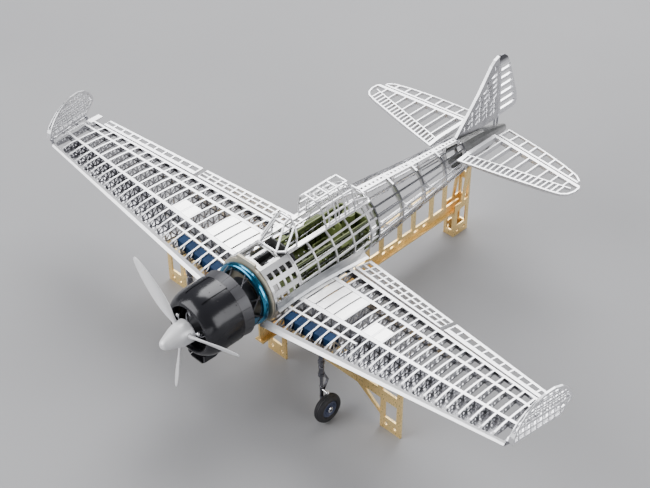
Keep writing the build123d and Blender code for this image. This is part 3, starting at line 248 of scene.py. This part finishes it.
OLIVE = Finish("olive_paint", (0.10, 0.135, 0.03), (0.17, 0.205, 0.065), 0.1, (0.42, 0.62), 170.0, 2600.0, bump=0.2,
               worn=(0.42, 0.44, 0.36), worn_share=0.14, worn_scale=560.0)
BLACK_PANEL = Finish("black_panel", (0.010, 0.010, 0.011), (0.022, 0.022, 0.024), 0.0, (0.42, 0.6), 160.0, 3600.0,
                     bump=0.25)
BRASS = Finish("stand_brass", (0.98, 0.74, 0.34), (0.90, 0.62, 0.25), 0.72, (0.24, 0.40), 55.0, 1900.0,
               (1.0, 1.0, 0.3), bump=0.12)
RUBBER = Finish("tyre_rubber", (0.012, 0.012, 0.014), (0.022, 0.021, 0.025), 0.0, (0.48, 0.66), 200.0, 3800.0,
                bump=0.35)
HUB_PAINT = Finish("hub_blue_grey", (0.035, 0.042, 0.085), (0.06, 0.07, 0.125), 0.5, (0.25, 0.4), 180.0, 2600.0)
STEEL = Finish("polished_steel", (0.50, 0.50, 0.52), (0.34, 0.34, 0.37), 1.0, (0.12, 0.24), 150.0, 2600.0, bump=0.06)
BRIGHT = Finish("bright_chrome", (0.95, 0.95, 0.96), (0.9, 0.9, 0.92), 1.0, (0.06, 0.14), 120.0, 2600.0, bump=0.03)
DIAL = Finish("dial_face", (0.75, 0.75, 0.68), (0.68, 0.68, 0.60), 0.0, (0.3, 0.45), 300.0, 3600.0, bump=0.05)
# Root fillets: grey metal that fades to near-white between Y -34 and -20 mm; the fade is a painted reflection.
FILLET_PAINTED_REFLECTION = Finish("fillet_painted_reflection", (0.40, 0.41, 0.43), (0.33, 0.34, 0.36), 0.85, (0.34, 0.42), 60.0, 1600.0,
                bump=0.03, fade=("Y", -34.0, -20.0, (0.96, 0.96, 0.96)))
DECK = Finish("deck_metal", (0.55, 0.55, 0.55), (0.40, 0.40, 0.39), 0.9, (0.25, 0.4), 130.0, 1900.0)
RUDDER = Finish("rudder_steel", (0.92, 0.92, 0.94), (0.76, 0.76, 0.79), 1.0, (0.18, 0.34), 90.0, 2200.0, bump=0.18,
                fade=("Z", 106.0, 109.0, (0.10, 0.10, 0.11)))
GREEN_DARK = Finish("cockpit_dark_green", (0.03, 0.045, 0.012), (0.055, 0.07, 0.022), 0.1, (0.4, 0.6), 200.0, 2600.0)


class Slot(Enum):
    """The record's material slots, and the finish that each is given."""

    ETCHED_STEEL = ("etched_steel", ETCHED)
    WHITE_METAL = ("white_metal", WHITE_METAL)
    SATIN_SILVER = ("satin_silver", SATIN_SILVER)
    GLOSS_BLACK = ("gloss_black", GLOSS_BLACK)
    DARK_GREY = ("dark_grey", DARK_GREY)
    METALLIC_BLUE = ("metallic_blue", RING_BLUE)
    DARK_BLUE = ("dark_blue", CELL_BLUE)
    BRONZE_PLATE = ("bronze_plate", BRONZE)
    OLIVE = ("olive", OLIVE)
    BLACK_PANEL = ("black_panel", BLACK_PANEL)
    BRASS = ("brass", BRASS)
    TYRE = ("tyre", RUBBER)
    HUB = ("hub_blue_grey", HUB_PAINT)
    STEEL = ("steel", STEEL)

    @property
    def title(self) -> str:
        """The slot's name in the record."""
        return self.value[0]

    @property
    def finish(self) -> Finish:
        """The finish that the slot is given."""
        return self.value[1]


# ---------------------------------------------------------------- pieces
def point(x: float, y: float, z: float) -> Vector:
    """A point in millimetres."""
    return Vector((x, y, z))


@dataclass
class Workpiece:
    """A mesh in the making, in millimetres."""

    name: str
    bm: bmesh.types.BMesh = field(default_factory=bmesh.new)

    def turned(self, profile: list[tuple[float, float]], centre: Vector, axis: Vector, steps: int = 96,
               closed: bool = True, start: float = 0.0, sweep: float = 2 * pi) -> None:
        """Turns a profile about an axis.

        Args:
            profile: pairs of distance along the axis and radius.
            centre: a point on the axis, where the distance is zero.
            axis: direction of the axis.
            steps: number of facets round the turn.
            closed: whether the profile is a closed loop.
            start: angle at which a part turn begins.
            sweep: angle of the turn.
        """
        axis = axis.normalized()
        side = axis.orthogonal().normalized()
        side.rotate(Matrix.Rotation(start, 3, axis))
        verts = [self.bm.verts.new(centre + axis * a + side * r) for a, r in profile]
        edges = [self.bm.edges.new(pair) for pair in zip(verts, verts[1:])]
        if closed:
            edges.append(self.bm.edges.new((verts[-1], verts[0])))
        whole = abs(sweep - 2 * pi) < 1e-6
        if whole:
            bmesh.ops.spin(self.bm, geom=verts + edges, cent=centre, axis=axis, angle=sweep, steps=steps,
                           use_merge=True)
            return
        ends = list(edges)
        result = bmesh.ops.spin(self.bm, geom=verts + edges, cent=centre, axis=axis, angle=sweep, steps=steps)
        ends += [e for e in result["geom_last"] if isinstance(e, bmesh.types.BMEdge)]
        bmesh.ops.holes_fill(self.bm, edges=ends, sides=0)

    def rod(self, start: Vector, end: Vector, radius: float, sides: int = 16) -> None:
        """A round rod between two points.

        Args:
            start: middle of one end.
            end: middle of the other end.
            radius: radius of the rod.
            sides: number of flats round it.
        """
        run = end - start
        place = Matrix.Translation((start + end) / 2) @ run.to_track_quat("Z", "Y").to_matrix().to_4x4()
        bmesh.ops.create_cone(self.bm, cap_ends=True, segments=sides, radius1=radius, radius2=radius,
                              depth=run.length, matrix=place)

    def dome(self, centre: Vector, radius: float, sides: int = 12, rings: int = 8) -> None:
        """A small ball, set half into a surface."""
        bmesh.ops.create_uvsphere(self.bm, u_segments=sides, v_segments=rings, radius=radius,
                                  matrix=Matrix.Translation(centre))

    def block(self, centre: Vector, size: Triple, turn: Matrix | None = None) -> None:
        """A rectangular block."""
        place = Matrix.Translation(centre) @ (turn or Matrix.Identity(4)) @ Matrix.Diagonal((*size, 1.0))
        bmesh.ops.create_cube(self.bm, size=1.0, matrix=place)

    def finished(self, body: str, slot: Slot, replaced: tuple[str, ...] = (), finish: Finish | None = None,
                 bevel: float = 0.0) -> bpy.types.Object:
        """Makes the object, in metres, and hands it to its body.

        Args:
            body: CAD body that the piece moves with.
            slot: the record's slot for its finish.
            replaced: CAD nodes that the piece stands for.
            finish: finish where it differs from the slot's own.
            bevel: width of a bevel on sharp edges, or 0 for none.

        Returns:
            The new object.
        """
        bmesh.ops.remove_doubles(self.bm, verts=self.bm.verts[:], dist=WELD_DISTANCE)
        bmesh.ops.recalc_face_normals(self.bm, faces=self.bm.faces[:])
        bmesh.ops.scale(self.bm, vec=(MM, MM, MM), verts=self.bm.verts[:])
        mesh = bpy.data.meshes.new(self.name)
        self.bm.to_mesh(mesh)
        self.bm.free()
        mesh.polygons.foreach_set("use_smooth", [True] * len(mesh.polygons))
        mesh.set_sharp_from_angle(angle=radians(SHARP_ANGLE))
        obj = bpy.data.objects.new(self.name, mesh)
        bpy.context.scene.collection.objects.link(obj)
        mesh.materials.append((finish or slot.finish).material())
        if bevel:
            edge = obj.modifiers.new("edges", "BEVEL")
            edge.width = bevel * MM
            edge.segments = BEVEL_SEGMENTS
            edge.limit_method = "ANGLE"
            edge.angle_limit = radians(BEVEL_ANGLE)
        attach(obj, body)
        if replaced:
            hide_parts(*replaced)
        log.info("piece %s on %s", self.name, body)
        return obj


# ---------------------------------------------------------------- engine, cowling and propeller
@dataclass
class Powerplant:
    """Cowling, flap ring, mount ring, engine fittings and propeller."""

    thrust_z: float = 58.6
    cowl_radius: float = 18.9
    rear_y: float = -101.5
    flap_rear_y: float = -95.0
    seam_angle: float = 20.0
    seam_half: float = 1.4
    seam_depth: float = 0.62
    rivet_step: int = 20
    ring_y: float = -85.0
    ring_radius: float = 16.2
    prop_y: float = -127.6
    prop_radius: float = 45.4
    prop_angle: float = 47.5
    blades: int = 3

    @property
    def axis(self) -> Vector:
        """Direction of the thrust line, to the rear."""
        return point(0, 1, 0)

    def at(self, y: float, angle: float, radius: float) -> Vector:
        """Point round the thrust line, at degrees from the top towards the left wing."""
        turn = radians(angle)
        return point(radius * sin(turn), y, self.thrust_z + radius * cos(turn))

    def build(self) -> None:
        """Builds every piece of the powerplant."""
        self.cowl()
        self.flap_ring()
        self.mount_ring()
        self.engine_fittings()
        self.propeller()

    def cowl(self) -> None:
        """Turned cowl shell with a rolled lip and the panel gaps along its top."""
        r = self.cowl_radius
        work = Workpiece("cowl_shell")
        lip = [(-112.6, r - 0.01), (-114.0, r - 0.08), (-116.0, r - 0.32), (-118.2, r - 0.78), (-120.2, r - 1.5),
               (-121.9, r - 2.5), (-122.9, r - 3.5), (-123.4, r - 4.4), (-123.5, r - 5.0), (-123.2, r - 5.6),
               (-122.4, r - 5.9), (-121.2, r - 5.8), (-119.6, r - 4.6), (-118.0, r - 2.9),
               (-114.0, r - 1.2), (-111.0, r - 0.8)]
        rear = [(self.rear_y, r - 0.8), (self.rear_y, r - 0.1), (self.rear_y - 0.15, r)]
        work.turned(rear + lip, point(0, 0, self.thrust_z), self.axis, 120)
        for angle in (self.seam_angle, -self.seam_angle, 180 - 62, 180 + 62):
            self._panel_gap(work, angle)
        for angle in range(0, 360, self.rivet_step):
            for y in (self.rear_y - 1.4, -110.6):
                work.dome(self.at(y, angle + 10, r - 0.02), 0.26, 8, 6)
        work.finished("airframe", Slot.GLOSS_BLACK, ("cowling",))

    def _panel_gap(self, work: Workpiece, angle: float) -> None:
        """Cuts a narrow groove along the cowl.

        Args:
            work: the cowl's mesh.
            angle: degrees of the groove from the top.
        """
        half = self.seam_half
        centre = point(0, 0, self.thrust_z)
        for edge in (angle - half, angle + half):
            turn = radians(edge)
            bmesh.ops.bisect_plane(work.bm, geom=work.bm.verts[:] + work.bm.edges[:] + work.bm.faces[:], dist=1e-5,
                                   plane_co=centre, plane_no=point(cos(turn), 0, -sin(turn)))
        chosen = []
        for face in work.bm.faces:
            middle = face.calc_center_median() - centre
            around = (atan2(middle.x, middle.z) - radians(angle) + pi) % (2 * pi) - pi
            out = (middle.x ** 2 + middle.z ** 2) ** 0.5
            on_barrel = -120.0 < middle.y < self.rear_y - 0.2
            if abs(around) < radians(half * 0.9) and out > self.cowl_radius - 0.6 and on_barrel:
                chosen.append(face)
        result = bmesh.ops.extrude_face_region(work.bm, geom=chosen)
        moved = [v for v in result["geom"] if isinstance(v, bmesh.types.BMVert)]
        turn = radians(angle)
        bmesh.ops.translate(work.bm, verts=moved, vec=point(-sin(turn), 0, -cos(turn)) * self.seam_depth)
        bmesh.ops.delete(work.bm, geom=[f for f in chosen if f.is_valid], context="FACES_ONLY")

    def flap_ring(self) -> None:
        """The ring of cooling flaps behind the cowl, one petal beside another."""
        work = Workpiece("cowl_flap_petals")
        petals = 18
        share = 2 * pi / petals
        front = self.rear_y + 0.1
        profile = [(front, 17.5), (front, 18.1), (self.flap_rear_y, 19.0), (self.flap_rear_y, 18.4)]
        for i in range(petals):
            work.turned(profile, point(0, 0, self.thrust_z), self.axis, 6, start=i * share, sweep=share * 0.975)
            middle = i * 360 / petals
            link_end = self.at(self.flap_rear_y - 1.0, middle, 18.15)
            work.rod(self.at(front + 0.8, middle, 17.35), link_end, 0.22, sides=8)
        work.turned([(front + 0.1, 16.9), (front + 0.1, 17.5), (front + 0.7, 17.5), (front + 0.7, 16.9)],
                    point(0, 0, self.thrust_z), self.axis)
        work.finished("airframe", Slot.DARK_GREY, ("cowl_flaps",))

    def mount_ring(self) -> None:
        """The blue engine ring, the studs on its rear face, and the struts and links ahead of it."""
        ring = Workpiece("engine_ring")
        half = 2.1
        corner = 1.75
        section = []
        for i in range(24):
            turn = 2 * pi * i / 24
            a = (half - corner) * (1 if cos(turn) > 0 else -1) + corner * cos(turn)
            b = (half - corner) * (1 if sin(turn) > 0 else -1) + corner * sin(turn)
            section.append((self.ring_y + a, self.ring_radius + b))
        ring.turned(section, point(0, 0, self.thrust_z), self.axis, 128)
        ring.finished("airframe", Slot.METALLIC_BLUE, ("engine_mount_ring",))
        struts = Workpiece("engine_ring_struts")
        for i in range(8):
            angle = 22.5 + 45 * i
            struts.rod(self.at(-83.4, angle, self.ring_radius), self.at(-82.65, angle, self.ring_radius), 0.7)
            struts.rod(self.at(-86.4, angle, self.ring_radius - 0.4), self.at(-92.4, angle, 10.6), 0.5)
            struts.dome(self.at(-86.9, angle, self.ring_radius - 0.6), 0.8)
            plate = self.at(-82.65, angle, self.ring_radius)
            struts.rod(self.at(-82.9, angle, self.ring_radius), plate, 1.2, sides=6)
            link_end = self.at(-87.2, angle - 8, self.ring_radius + 1.0)
            struts.rod(self.at(-95.6, angle + 11, 18.0), link_end, 0.28, sides=8)
        struts.finished("airframe", Slot.DARK_GREY)

    def engine_fittings(self) -> None:
        """Push rods, nose studs and the ignition ring of the radial engine."""
        work = Workpiece("engine_push_rods")
        for i in range(7):
            middle = i * 360 / 7
            for spread in (-7.0, 7.0):
                tip = self.at(-115.6, middle + spread * 0.6, 14.0)
                work.rod(self.at(-118.2, middle + spread * 0.8, 5.0), tip, 0.32, sides=8)
        work.turned([(-117.9 + 0.45 * cos(t * pi / 5), 7.6 + 0.45 * sin(t * pi / 5)) for t in range(10)],
                    point(0, 0, self.thrust_z), self.axis, 72)
        work.finished("airframe", Slot.STEEL, finish=STEEL)
        studs = Workpiece("engine_nose_studs")
        for i in range(10):
            studs.rod(self.at(-118.3, i * 36, 4.2), self.at(-117.5, i * 36, 4.2), 0.34, sides=6)
        studs.finished("airframe", Slot.STEEL, finish=BRIGHT)

    def propeller(self) -> None:
        """Three twisted blades on their hub, with a bright weight at each root."""
        work = Workpiece("propeller_blades")
        stations = [(6.9, 2.3, 2.1, 55), (9.0, 2.9, 1.95, 52), (12.0, 4.2, 1.7, 48), (16.0, 5.5, 1.45, 43),
                    (20.0, 6.2, 1.25, 39), (25.0, 6.5, 1.1, 35), (31.0, 6.3, 0.95, 30), (36.0, 5.6, 0.8, 27),
                    (40.0, 4.6, 0.62, 25), (43.0, 3.4, 0.48, 23), (44.6, 2.2, 0.36, 22),
                    (self.prop_radius, 0.9, 0.2, 22)]
        for blade in range(self.blades):
            angle = 360 / self.blades * blade - self.prop_angle
            turn = radians(angle)
            out = point(sin(turn), 0, cos(turn))
            across = point(cos(turn), 0, -sin(turn))
            loops = []
            for radius, chord, depth, pitch in stations:
                wide = across * -cos(radians(pitch)) + point(0, 1, 0) * sin(radians(pitch)) * -1
                deep = wide.cross(out).normalized()
                place = Matrix.Identity(4)
                for row in range(3):
                    place[row][0] = wide[row] * chord / 2
                    place[row][1] = deep[row] * depth / 2
                    place[row][2] = out[row]
                    place[row][3] = (point(0, self.prop_y, self.thrust_z) + out * radius)[row]
                loop = bmesh.ops.create_circle(work.bm, cap_ends=False, radius=1.0, segments=28, matrix=place)["verts"]
                loops.append({e for v in loop for e in v.link_edges})
            for near, far in zip(loops, loops[1:]):
                bmesh.ops.bridge_loops(work.bm, edges=list(near | far))
            bmesh.ops.holes_fill(work.bm, edges=list(loops[0] | loops[-1]), sides=0)
            hub = point(0, self.prop_y, self.thrust_z)
            work.rod(hub + out * 2.6, hub + out * 7.4, 1.3)
        hub_profile = [(-130.4, 1.22), (-130.4, 3.0), (-125.2, 3.0), (-125.2, 1.22)]
        work.turned(hub_profile, point(0, 0, self.thrust_z), self.axis, 48)
        work.finished("propeller_group", Slot.SATIN_SILVER, ("propeller",))
        weights = Workpiece("propeller_root_weights")
        for blade in range(self.blades):
            angle = 360 / self.blades * blade - self.prop_angle
            weights.rod(self.at(-125.6, angle, 2.6), self.at(-124.0, angle, 8.6), 0.5, sides=10)
            weights.dome(self.at(-123.9, angle, 9.1), 1.15, 20, 14)
        weights.finished("propeller_group", Slot.SATIN_SILVER, finish=BRIGHT)


# ---------------------------------------------------------------- undercarriage
@dataclass
class Undercarriage:
    """Tyres, hubs and leg fittings of both main wheels."""

    wheel_x: float = 55.3
    wheel_y: float = -79.5
    axle_z: float = 9.1
    tyre_radius: float = 8.6
    width: float = 5.4
    leg_x: float = 51.1

    def build(self) -> None:
        """Builds both sides."""
        for side, name in ((1, "left"), (-1, "right")):
            self.tyre(side, name)
            self.hub(side, name)
            self.leg(side, name)

    def tyre(self, side: int, name: str) -> None:
        """A tyre with a round shoulder and three grooves round its tread.

        Args:
            side: 1 for the left side of the aircraft, -1 for the right.
            name: left or right.
        """
        work = Workpiece(f"tyre_tread_{name}")
        centre = point(side * self.wheel_x, self.wheel_y, self.axle_z)
        half = self.width / 2
        outer = []
        for i in range(25):
            turn = pi * i / 24
            a = -half * cos(turn)
            r = 6.35 + (self.tyre_radius - 6.35) * sin(turn) ** 0.85
            if any(abs(a - g) < 0.18 for g in (-1.0, 0.0, 1.0)):
                r -= 0.3
            outer.append((a, r))
        inner = [(half - 0.25, 5.5), (half - 0.9, 5.0), (-half + 0.9, 5.0), (-half + 0.25, 5.5)]
        work.turned(outer + inner, centre, point(side, 0, 0), 96)
        work.finished(f"wheel_{name}", Slot.TYRE, (f"tyre_{name}",))

    def hub(self, side: int, name: str) -> None:
        """A dished hub with a raised rim, a ring of bolts and a bright centre cap.

        Args:
            side: 1 for the left side of the aircraft, -1 for the right.
            name: left or right.
        """
        work = Workpiece(f"wheel_disc_{name}")
        centre = point(side * self.wheel_x, self.wheel_y, self.axle_z)
        profile = [(-1.9, 0.78), (-1.9, 4.9), (1.7, 4.9), (2.05, 4.65), (2.05, 4.3), (1.5, 4.0), (0.9, 3.5),
                   (0.85, 2.4), (1.5, 2.0), (2.15, 1.8), (2.15, 0.78)]
        work.turned(profile, centre, point(side, 0, 0), 72)
        for i in range(8):
            turn = 2 * pi * i / 8
            foot = centre + point(side * 0.85, 3.0 * cos(turn), 3.0 * sin(turn))
            work.rod(foot, foot + point(side * 0.45, 0, 0), 0.34, sides=6)
        work.finished(f"wheel_{name}", Slot.HUB, (f"wheel_hub_{name}",))
        cap = Workpiece(f"wheel_cap_{name}")
        cap.turned([(2.2, 0.95), (2.2, 1.7), (2.45, 1.7), (2.65, 1.45), (2.65, 0.95)], centre, point(side, 0, 0), 40)
        cap.finished(f"wheel_{name}", Slot.STEEL, finish=BRIGHT)

    def leg(self, side: int, name: str) -> None:
        """Fittings of a leg: clamps, hose and the bright fork pin above the tyre.

        Args:
            side: 1 for the left side of the aircraft, -1 for the right.
            name: left or right.
        """
        work = Workpiece(f"leg_fittings_{name}")
        x = side * self.leg_x
        y = self.wheel_y
        for z, r in ((47.2, 1.75), (36.4, 1.75), (22.0, 1.2), (14.0, 1.2)):
            work.rod(point(x, y, z), point(x, y, z + 0.7), r, sides=24)
        hose = [point(x - side * 1.7, y + 0.9, 46), point(x - side * 2.0, y + 1.1, 36),
                point(x - side * 1.5, y + 1.2, 27), point(x - side * 1.6, y + 0.9, 18),
                point(x - side * 1.3, y + 0.3, 11.5)]
        for a, b in zip(hose, hose[1:]):
            work.rod(a, b, 0.24, sides=8)
            work.dome(b, 0.26, 8, 6)
        work.finished("airframe", Slot.STEEL, finish=STEEL)
        pin = Workpiece(f"leg_fork_pin_{name}")
        pin.rod(point(x + side * 0.7, y, 20.2), point(x + side * 3.9, y, 20.2), 0.45, sides=12)
        pin.dome(point(x + side * 4.3, y, 20.2), 1.0, 18, 12)
        pin.finished("airframe", Slot.STEEL, finish=BRIGHT)


# ---------------------------------------------------------------- cockpit
@dataclass
class Cockpit:
    """Small work inside the cockpit."""

    panel_y: float = -56.9
    wall_x: float = 10.8

    def build(self) -> None:
        """Builds dials and levers."""
        faces = Workpiece("dial_faces")
        rims = Workpiece("dial_rims")
        for x, z in ((-7.5, 67.5), (0, 67.0), (7.5, 67.5), (-4.2, 72.5), (4.2, 72.5)):
            centre = point(x, self.panel_y, z)
            rims.turned([(0.0, 1.8), (0.0, 2.1), (0.3, 2.05), (0.3, 1.75)], centre, point(0, 1, 0), 32)
            glass = [(0.02, 0.0), (0.02, 1.75), (0.08, 1.75), (0.08, 0.0)]
            faces.turned(glass, centre, point(0, 1, 0), 32, closed=False)
            for tick in range(8):
                turn = 2 * pi * tick / 8
                place = centre + point(1.35 * cos(turn), 0.12, 1.35 * sin(turn))
                rims.block(place, (0.3, 0.08, 0.12), Matrix.Rotation(-turn, 4, "Y"))
            rims.block(centre + point(0.35, 0.16, 0.35), (1.3, 0.08, 0.14), Matrix.Rotation(-pi / 4, 4, "Y"))
        rims.finished("airframe", Slot.STEEL, finish=STEEL)
        faces.finished("airframe", Slot.BLACK_PANEL, finish=DIAL)
        self.side_equipment()
        self.nose_bay()

    def side_equipment(self) -> None:
        """Boxes, pipes and frames along the cockpit walls, in light and dark green."""
        draw = Random(11)
        light = Workpiece("cockpit_side_boxes")
        dark = Workpiece("cockpit_side_frames")
        pipes = Workpiece("cockpit_pipes")
        for side in (-1, 1):
            wall = side * 9.9
            for y in range(-54, -2, 4):
                dark.block(point(wall, y, 56.0), (0.5, 0.6, 17.0))
            for z in (49.0, 53.6, 64.6):
                dark.block(point(wall - side * 0.1, -28.4, z), (0.5, 54.0, 0.6))
            for i in range(13):
                y = -53.0 + i * 3.9 + draw.uniform(-0.6, 0.6)
                size = (draw.uniform(0.8, 1.9), draw.uniform(1.4, 3.0), draw.uniform(1.2, 3.4))
                work = light if draw.random() > 0.35 else dark
                work.block(point(wall - side * (0.3 + size[0] / 2), y, draw.uniform(54.5, 64.0)), size)
            for z, reach in ((58.0, 1.5), (62.0, 2.1)):
                rear = point(wall - side * (reach - 0.7), -16, z + 1.6)
                pipes.rod(point(wall - side * reach, -54, z), rear, 0.26, sides=8)
            for y in (-50.5, -46.5, -42.5):
                pipes.rod(point(wall - side * 2.4, y, 64.6), point(wall - side * 3.0, y - 0.8, 67.6), 0.22, sides=8)
                pipes.dome(point(wall - side * 3.0, y - 0.8, 67.8), 0.5, 10, 8)
        for i in range(7):
            y = -50.0 + i * 3.2
            dark.block(point(0, y, 47.2), (15.0, 0.6, 0.7))
        for side in (-1, 1):
            self.outer_wall(side, draw, light, dark, pipes)
        light.finished("airframe", Slot.OLIVE, bevel=0.12)
        dark.finished("airframe", Slot.OLIVE, finish=GREEN_DARK)
        pipes.finished("airframe", Slot.STEEL, finish=STEEL)

    def outer_wall(self, side: int, draw: Random, light: Workpiece, dark: Workpiece, pipes: Workpiece) -> None:
        """Stiffeners, boxes, bottles and pipes on the outside of the cockpit wall.

        Args:
            side: 1 for the left side of the aircraft, -1 for the right.
            draw: The seeded source of sizes and places.
            light: Piece that takes the light green work.
            dark: Piece that takes the dark green work.
            pipes: Piece that takes the bright work.
        """
        wall = side * self.wall_x
        for y in range(-56, -1, 5):
            dark.block(point(wall + side * 0.3, y, 56.0), (0.7, 0.7, 19.4))
        for z in (47.0, 52.4, 58.0, 65.2):
            dark.block(point(wall + side * 0.4, -29.5, z), (0.8, 57.0, 0.7))
        for row, z in enumerate((49.6, 55.2, 61.6)):
            for i in range(11):
                size = (draw.uniform(1.0, 2.8), draw.uniform(1.8, 3.6), draw.uniform(1.6, 4.2))
                y = -53.6 + i * 5.0 + draw.uniform(-0.5, 0.5)
                work = light if draw.random() > 0.4 else dark
                work.block(point(wall + side * size[0] / 2, y, z + draw.uniform(-0.5, 0.5)), size)
                if draw.random() > 0.6:
                    pipes.dome(point(wall + side * (size[0] + 0.1), y, z), 0.55, 12, 8)
            rear = point(wall + side * 1.5, -3 - row * 6, z + 2.7)
            pipes.rod(point(wall + side * 1.5, -57, z + 2.7), rear, 0.3, sides=10)
        for y in (-47.0, -21.0):
            light.rod(point(wall + side * 2.6, y - 4.5, 63.4), point(wall + side * 2.6, y + 4.5, 63.4), 1.5, sides=24)
            light.dome(point(wall + side * 2.6, y - 4.5, 63.4), 1.5, 20, 12)
            light.dome(point(wall + side * 2.6, y + 4.5, 63.4), 1.5, 20, 12)

    def nose_bay(self) -> None:
        """Clips, cooling rings and feed covers of the bay ahead of the windshield."""
        work = Workpiece("nose_bay_fittings")
        for x in (-4.4, 4.4):
            for i in range(7):
                y = -79.6 + i * 0.75
                fin = [(y, 1.5), (y, 1.85), (y + 0.35, 1.85), (y + 0.35, 1.5)]
                work.turned(fin, point(x, 0, 70.9), point(0, 1, 0), 24)
            for y in (-71.8, -65.4):
                work.dome(point(x - 1.2, y, 72.9), 0.42, 10, 8)
                work.dome(point(x + 1.2, y, 72.9), 0.42, 10, 8)
            work.block(point(x, -68.6, 73.05), (2.6, 5.6, 0.4))
        work.finished("airframe", Slot.STEEL, finish=STEEL, bevel=0.05)


# ---------------------------------------------------------------- airframe details
@dataclass
class Airframe:
    """Rows of small rivets on the plain metal parts."""

    rail_z: float = 78.0

    def build(self) -> None:
        """Builds the rivet rows."""
        work = Workpiece("rail_rivets")
        for side in (-1, 1):
            for i in range(21):
                work.dome(point(side * 9.0, -60.4 + 2.98 * i, self.rail_z), 0.22, 8, 6)
        work.finished("airframe", Slot.WHITE_METAL, finish=STEEL)


# ---------------------------------------------------------------- carried-over CAD nodes
@dataclass
class Metalwork:
    """The CAD nodes that stay, each in the finish of its slot or in one of its own: a darker copy of the etched steel
    on the wing ribs and lower wing layers is painted shade, and the root fillets' fade to near-white is a painted
    reflection.
    """

    def build(self) -> None:
        """Gives every CAD node its finish."""
        finishes = {slot.title: slot.finish for slot in Slot}
        # The root fillets take a fade to near-white along Y as a painted reflection.
        own = {"root_fillets": FILLET_PAINTED_REFLECTION, "nose_deck": DECK, "rudder": RUDDER, "tail_cone": DECK, "fin": FRAME_STEEL,
               "rear_fuselage_lattice": FRAME_STEEL, "gear_legs": DARK_STEEL}
        for side in ("left", "right"):
            # Wing ribs and lower wing layers take the darker steel as painted shade.
            own.update({f"wing_ribs_{side}": RIB_STEEL_PAINTED_SHADE, f"wing_lower_{side}": RIB_STEEL_PAINTED_SHADE,
                        f"wing_spars_{side}": FRAME_STEEL})
        for part in frame["record"]["subparts"]:
            node = frame["nodes"][part["node"]]
            made = own.get(part["node"], finishes[part["material_slot"]]).material()
            if not node.material_slots:
                node.data.materials.append(made)
            for place in node.material_slots:
                place.material = made
            log.info("node %s in %s", part["node"], part["material_slot"])


# ---------------------------------------------------------------- floor, lights and camera
@dataclass
class Studio:
    """Plain pale floor, soft lights and the camera."""

    eye: Triple = (396.08, -426.88, 518.3)
    azimuth: float = 44.55
    elevation: float = 39.3
    roll: float = -0.28
    lens: float = 73.83
    sensor: float = 36.0
    clip_start: float = 0.01
    floor_half: float = 4.0
    room_colour: tuple[float, float, float, float] = (0.50, 0.51, 0.54, 1.0)
    room_strength: float = 0.28

    def build(self) -> None:
        """Sets up everything that isn't part of the object."""
        self.floor()
        self.lights()
        self.camera()

    def floor(self) -> None:
        """A wide plain floor."""
        bm = bmesh.new()
        bmesh.ops.create_grid(bm, x_segments=1, y_segments=1, size=self.floor_half)
        mesh = bpy.data.meshes.new("studio_floor")
        bm.to_mesh(mesh)
        bm.free()
        obj = bpy.data.objects.new("studio_floor", mesh)
        bpy.context.scene.collection.objects.link(obj)
        paper = Finish("studio_paper", (0.30, 0.30, 0.31), (0.28, 0.28, 0.29), 0.0, (0.85, 0.95), 3.0, 900.0,
                       bump=0.02)
        mesh.materials.append(paper.material())

    def lights(self) -> None:
        """A soft light behind, one in front, a small one at the side, and a dim room."""
        world = bpy.data.worlds.new("studio_room")
        world.use_nodes = True
        world.node_tree.nodes["Background"].inputs["Color"].default_value = self.room_colour
        world.node_tree.nodes["Background"].inputs["Strength"].default_value = self.room_strength
        bpy.context.scene.world = world
        self.lamp("rear_softbox", (-400, 700, 900), (0, 0, 60), 1000, 30.0)
        self.lamp("front_softbox", (-420, -760, 560), (0, -20, 50), 900, 15.0)
        self.lamp("side_softbox", (760, 120, 360), (0, -20, 50), 520, 4.0)

    def lamp(self, name: str, place: Triple, target: Triple, size: float, power: float) -> None:
        """A square soft light that looks at a point.

        Args:
            name: name of the light.
            place: where it stands, in millimetres.
            target: the point that it faces, in millimetres.
            size: length of its side, in millimetres.
            power: its power, in watts.
        """
        light = bpy.data.lights.new(name, "AREA")
        light.shape = "SQUARE"
        light.size = size * MM
        light.energy = power
        obj = bpy.data.objects.new(name, light)
        obj.location = Vector(place) * MM
        obj.rotation_euler = (Vector(target) - Vector(place)).to_track_quat("-Z", "Y").to_euler()
        bpy.context.scene.collection.objects.link(obj)

    def camera(self) -> None:
        """The camera, at the fitted place and angle."""
        a, e, r = radians(self.azimuth), radians(self.elevation), radians(self.roll)
        back = Vector((sin(a) * cos(e), -cos(a) * cos(e), sin(e)))
        level = Vector((cos(a), sin(a), 0.0))
        rise = back.cross(level)
        right = level * cos(r) + rise * sin(r)
        up = rise * cos(r) - level * sin(r)
        turn = Matrix((right, up, back)).transposed().to_4x4()
        data = bpy.data.cameras.new("studio_camera")
        data.lens = self.lens
        data.sensor_width = self.sensor
        data.clip_start = self.clip_start
        obj = bpy.data.objects.new("studio_camera", data)
        obj.matrix_world = Matrix.Translation(Vector(self.eye) * MM) @ turn
        bpy.context.scene.collection.objects.link(obj)
        bpy.context.scene.camera = obj


def main() -> None:
    """Builds each sub-assembly in order and reports the pieces."""
    logging.basicConfig(level=logging.INFO, format="%(message)s")
    for assembly in (Metalwork(), Powerplant(), Undercarriage(), Cockpit(), Airframe(), Studio()):
        log.info("building %s", type(assembly).__name__)
        assembly.build()


if __name__ == "__main__":
    main()
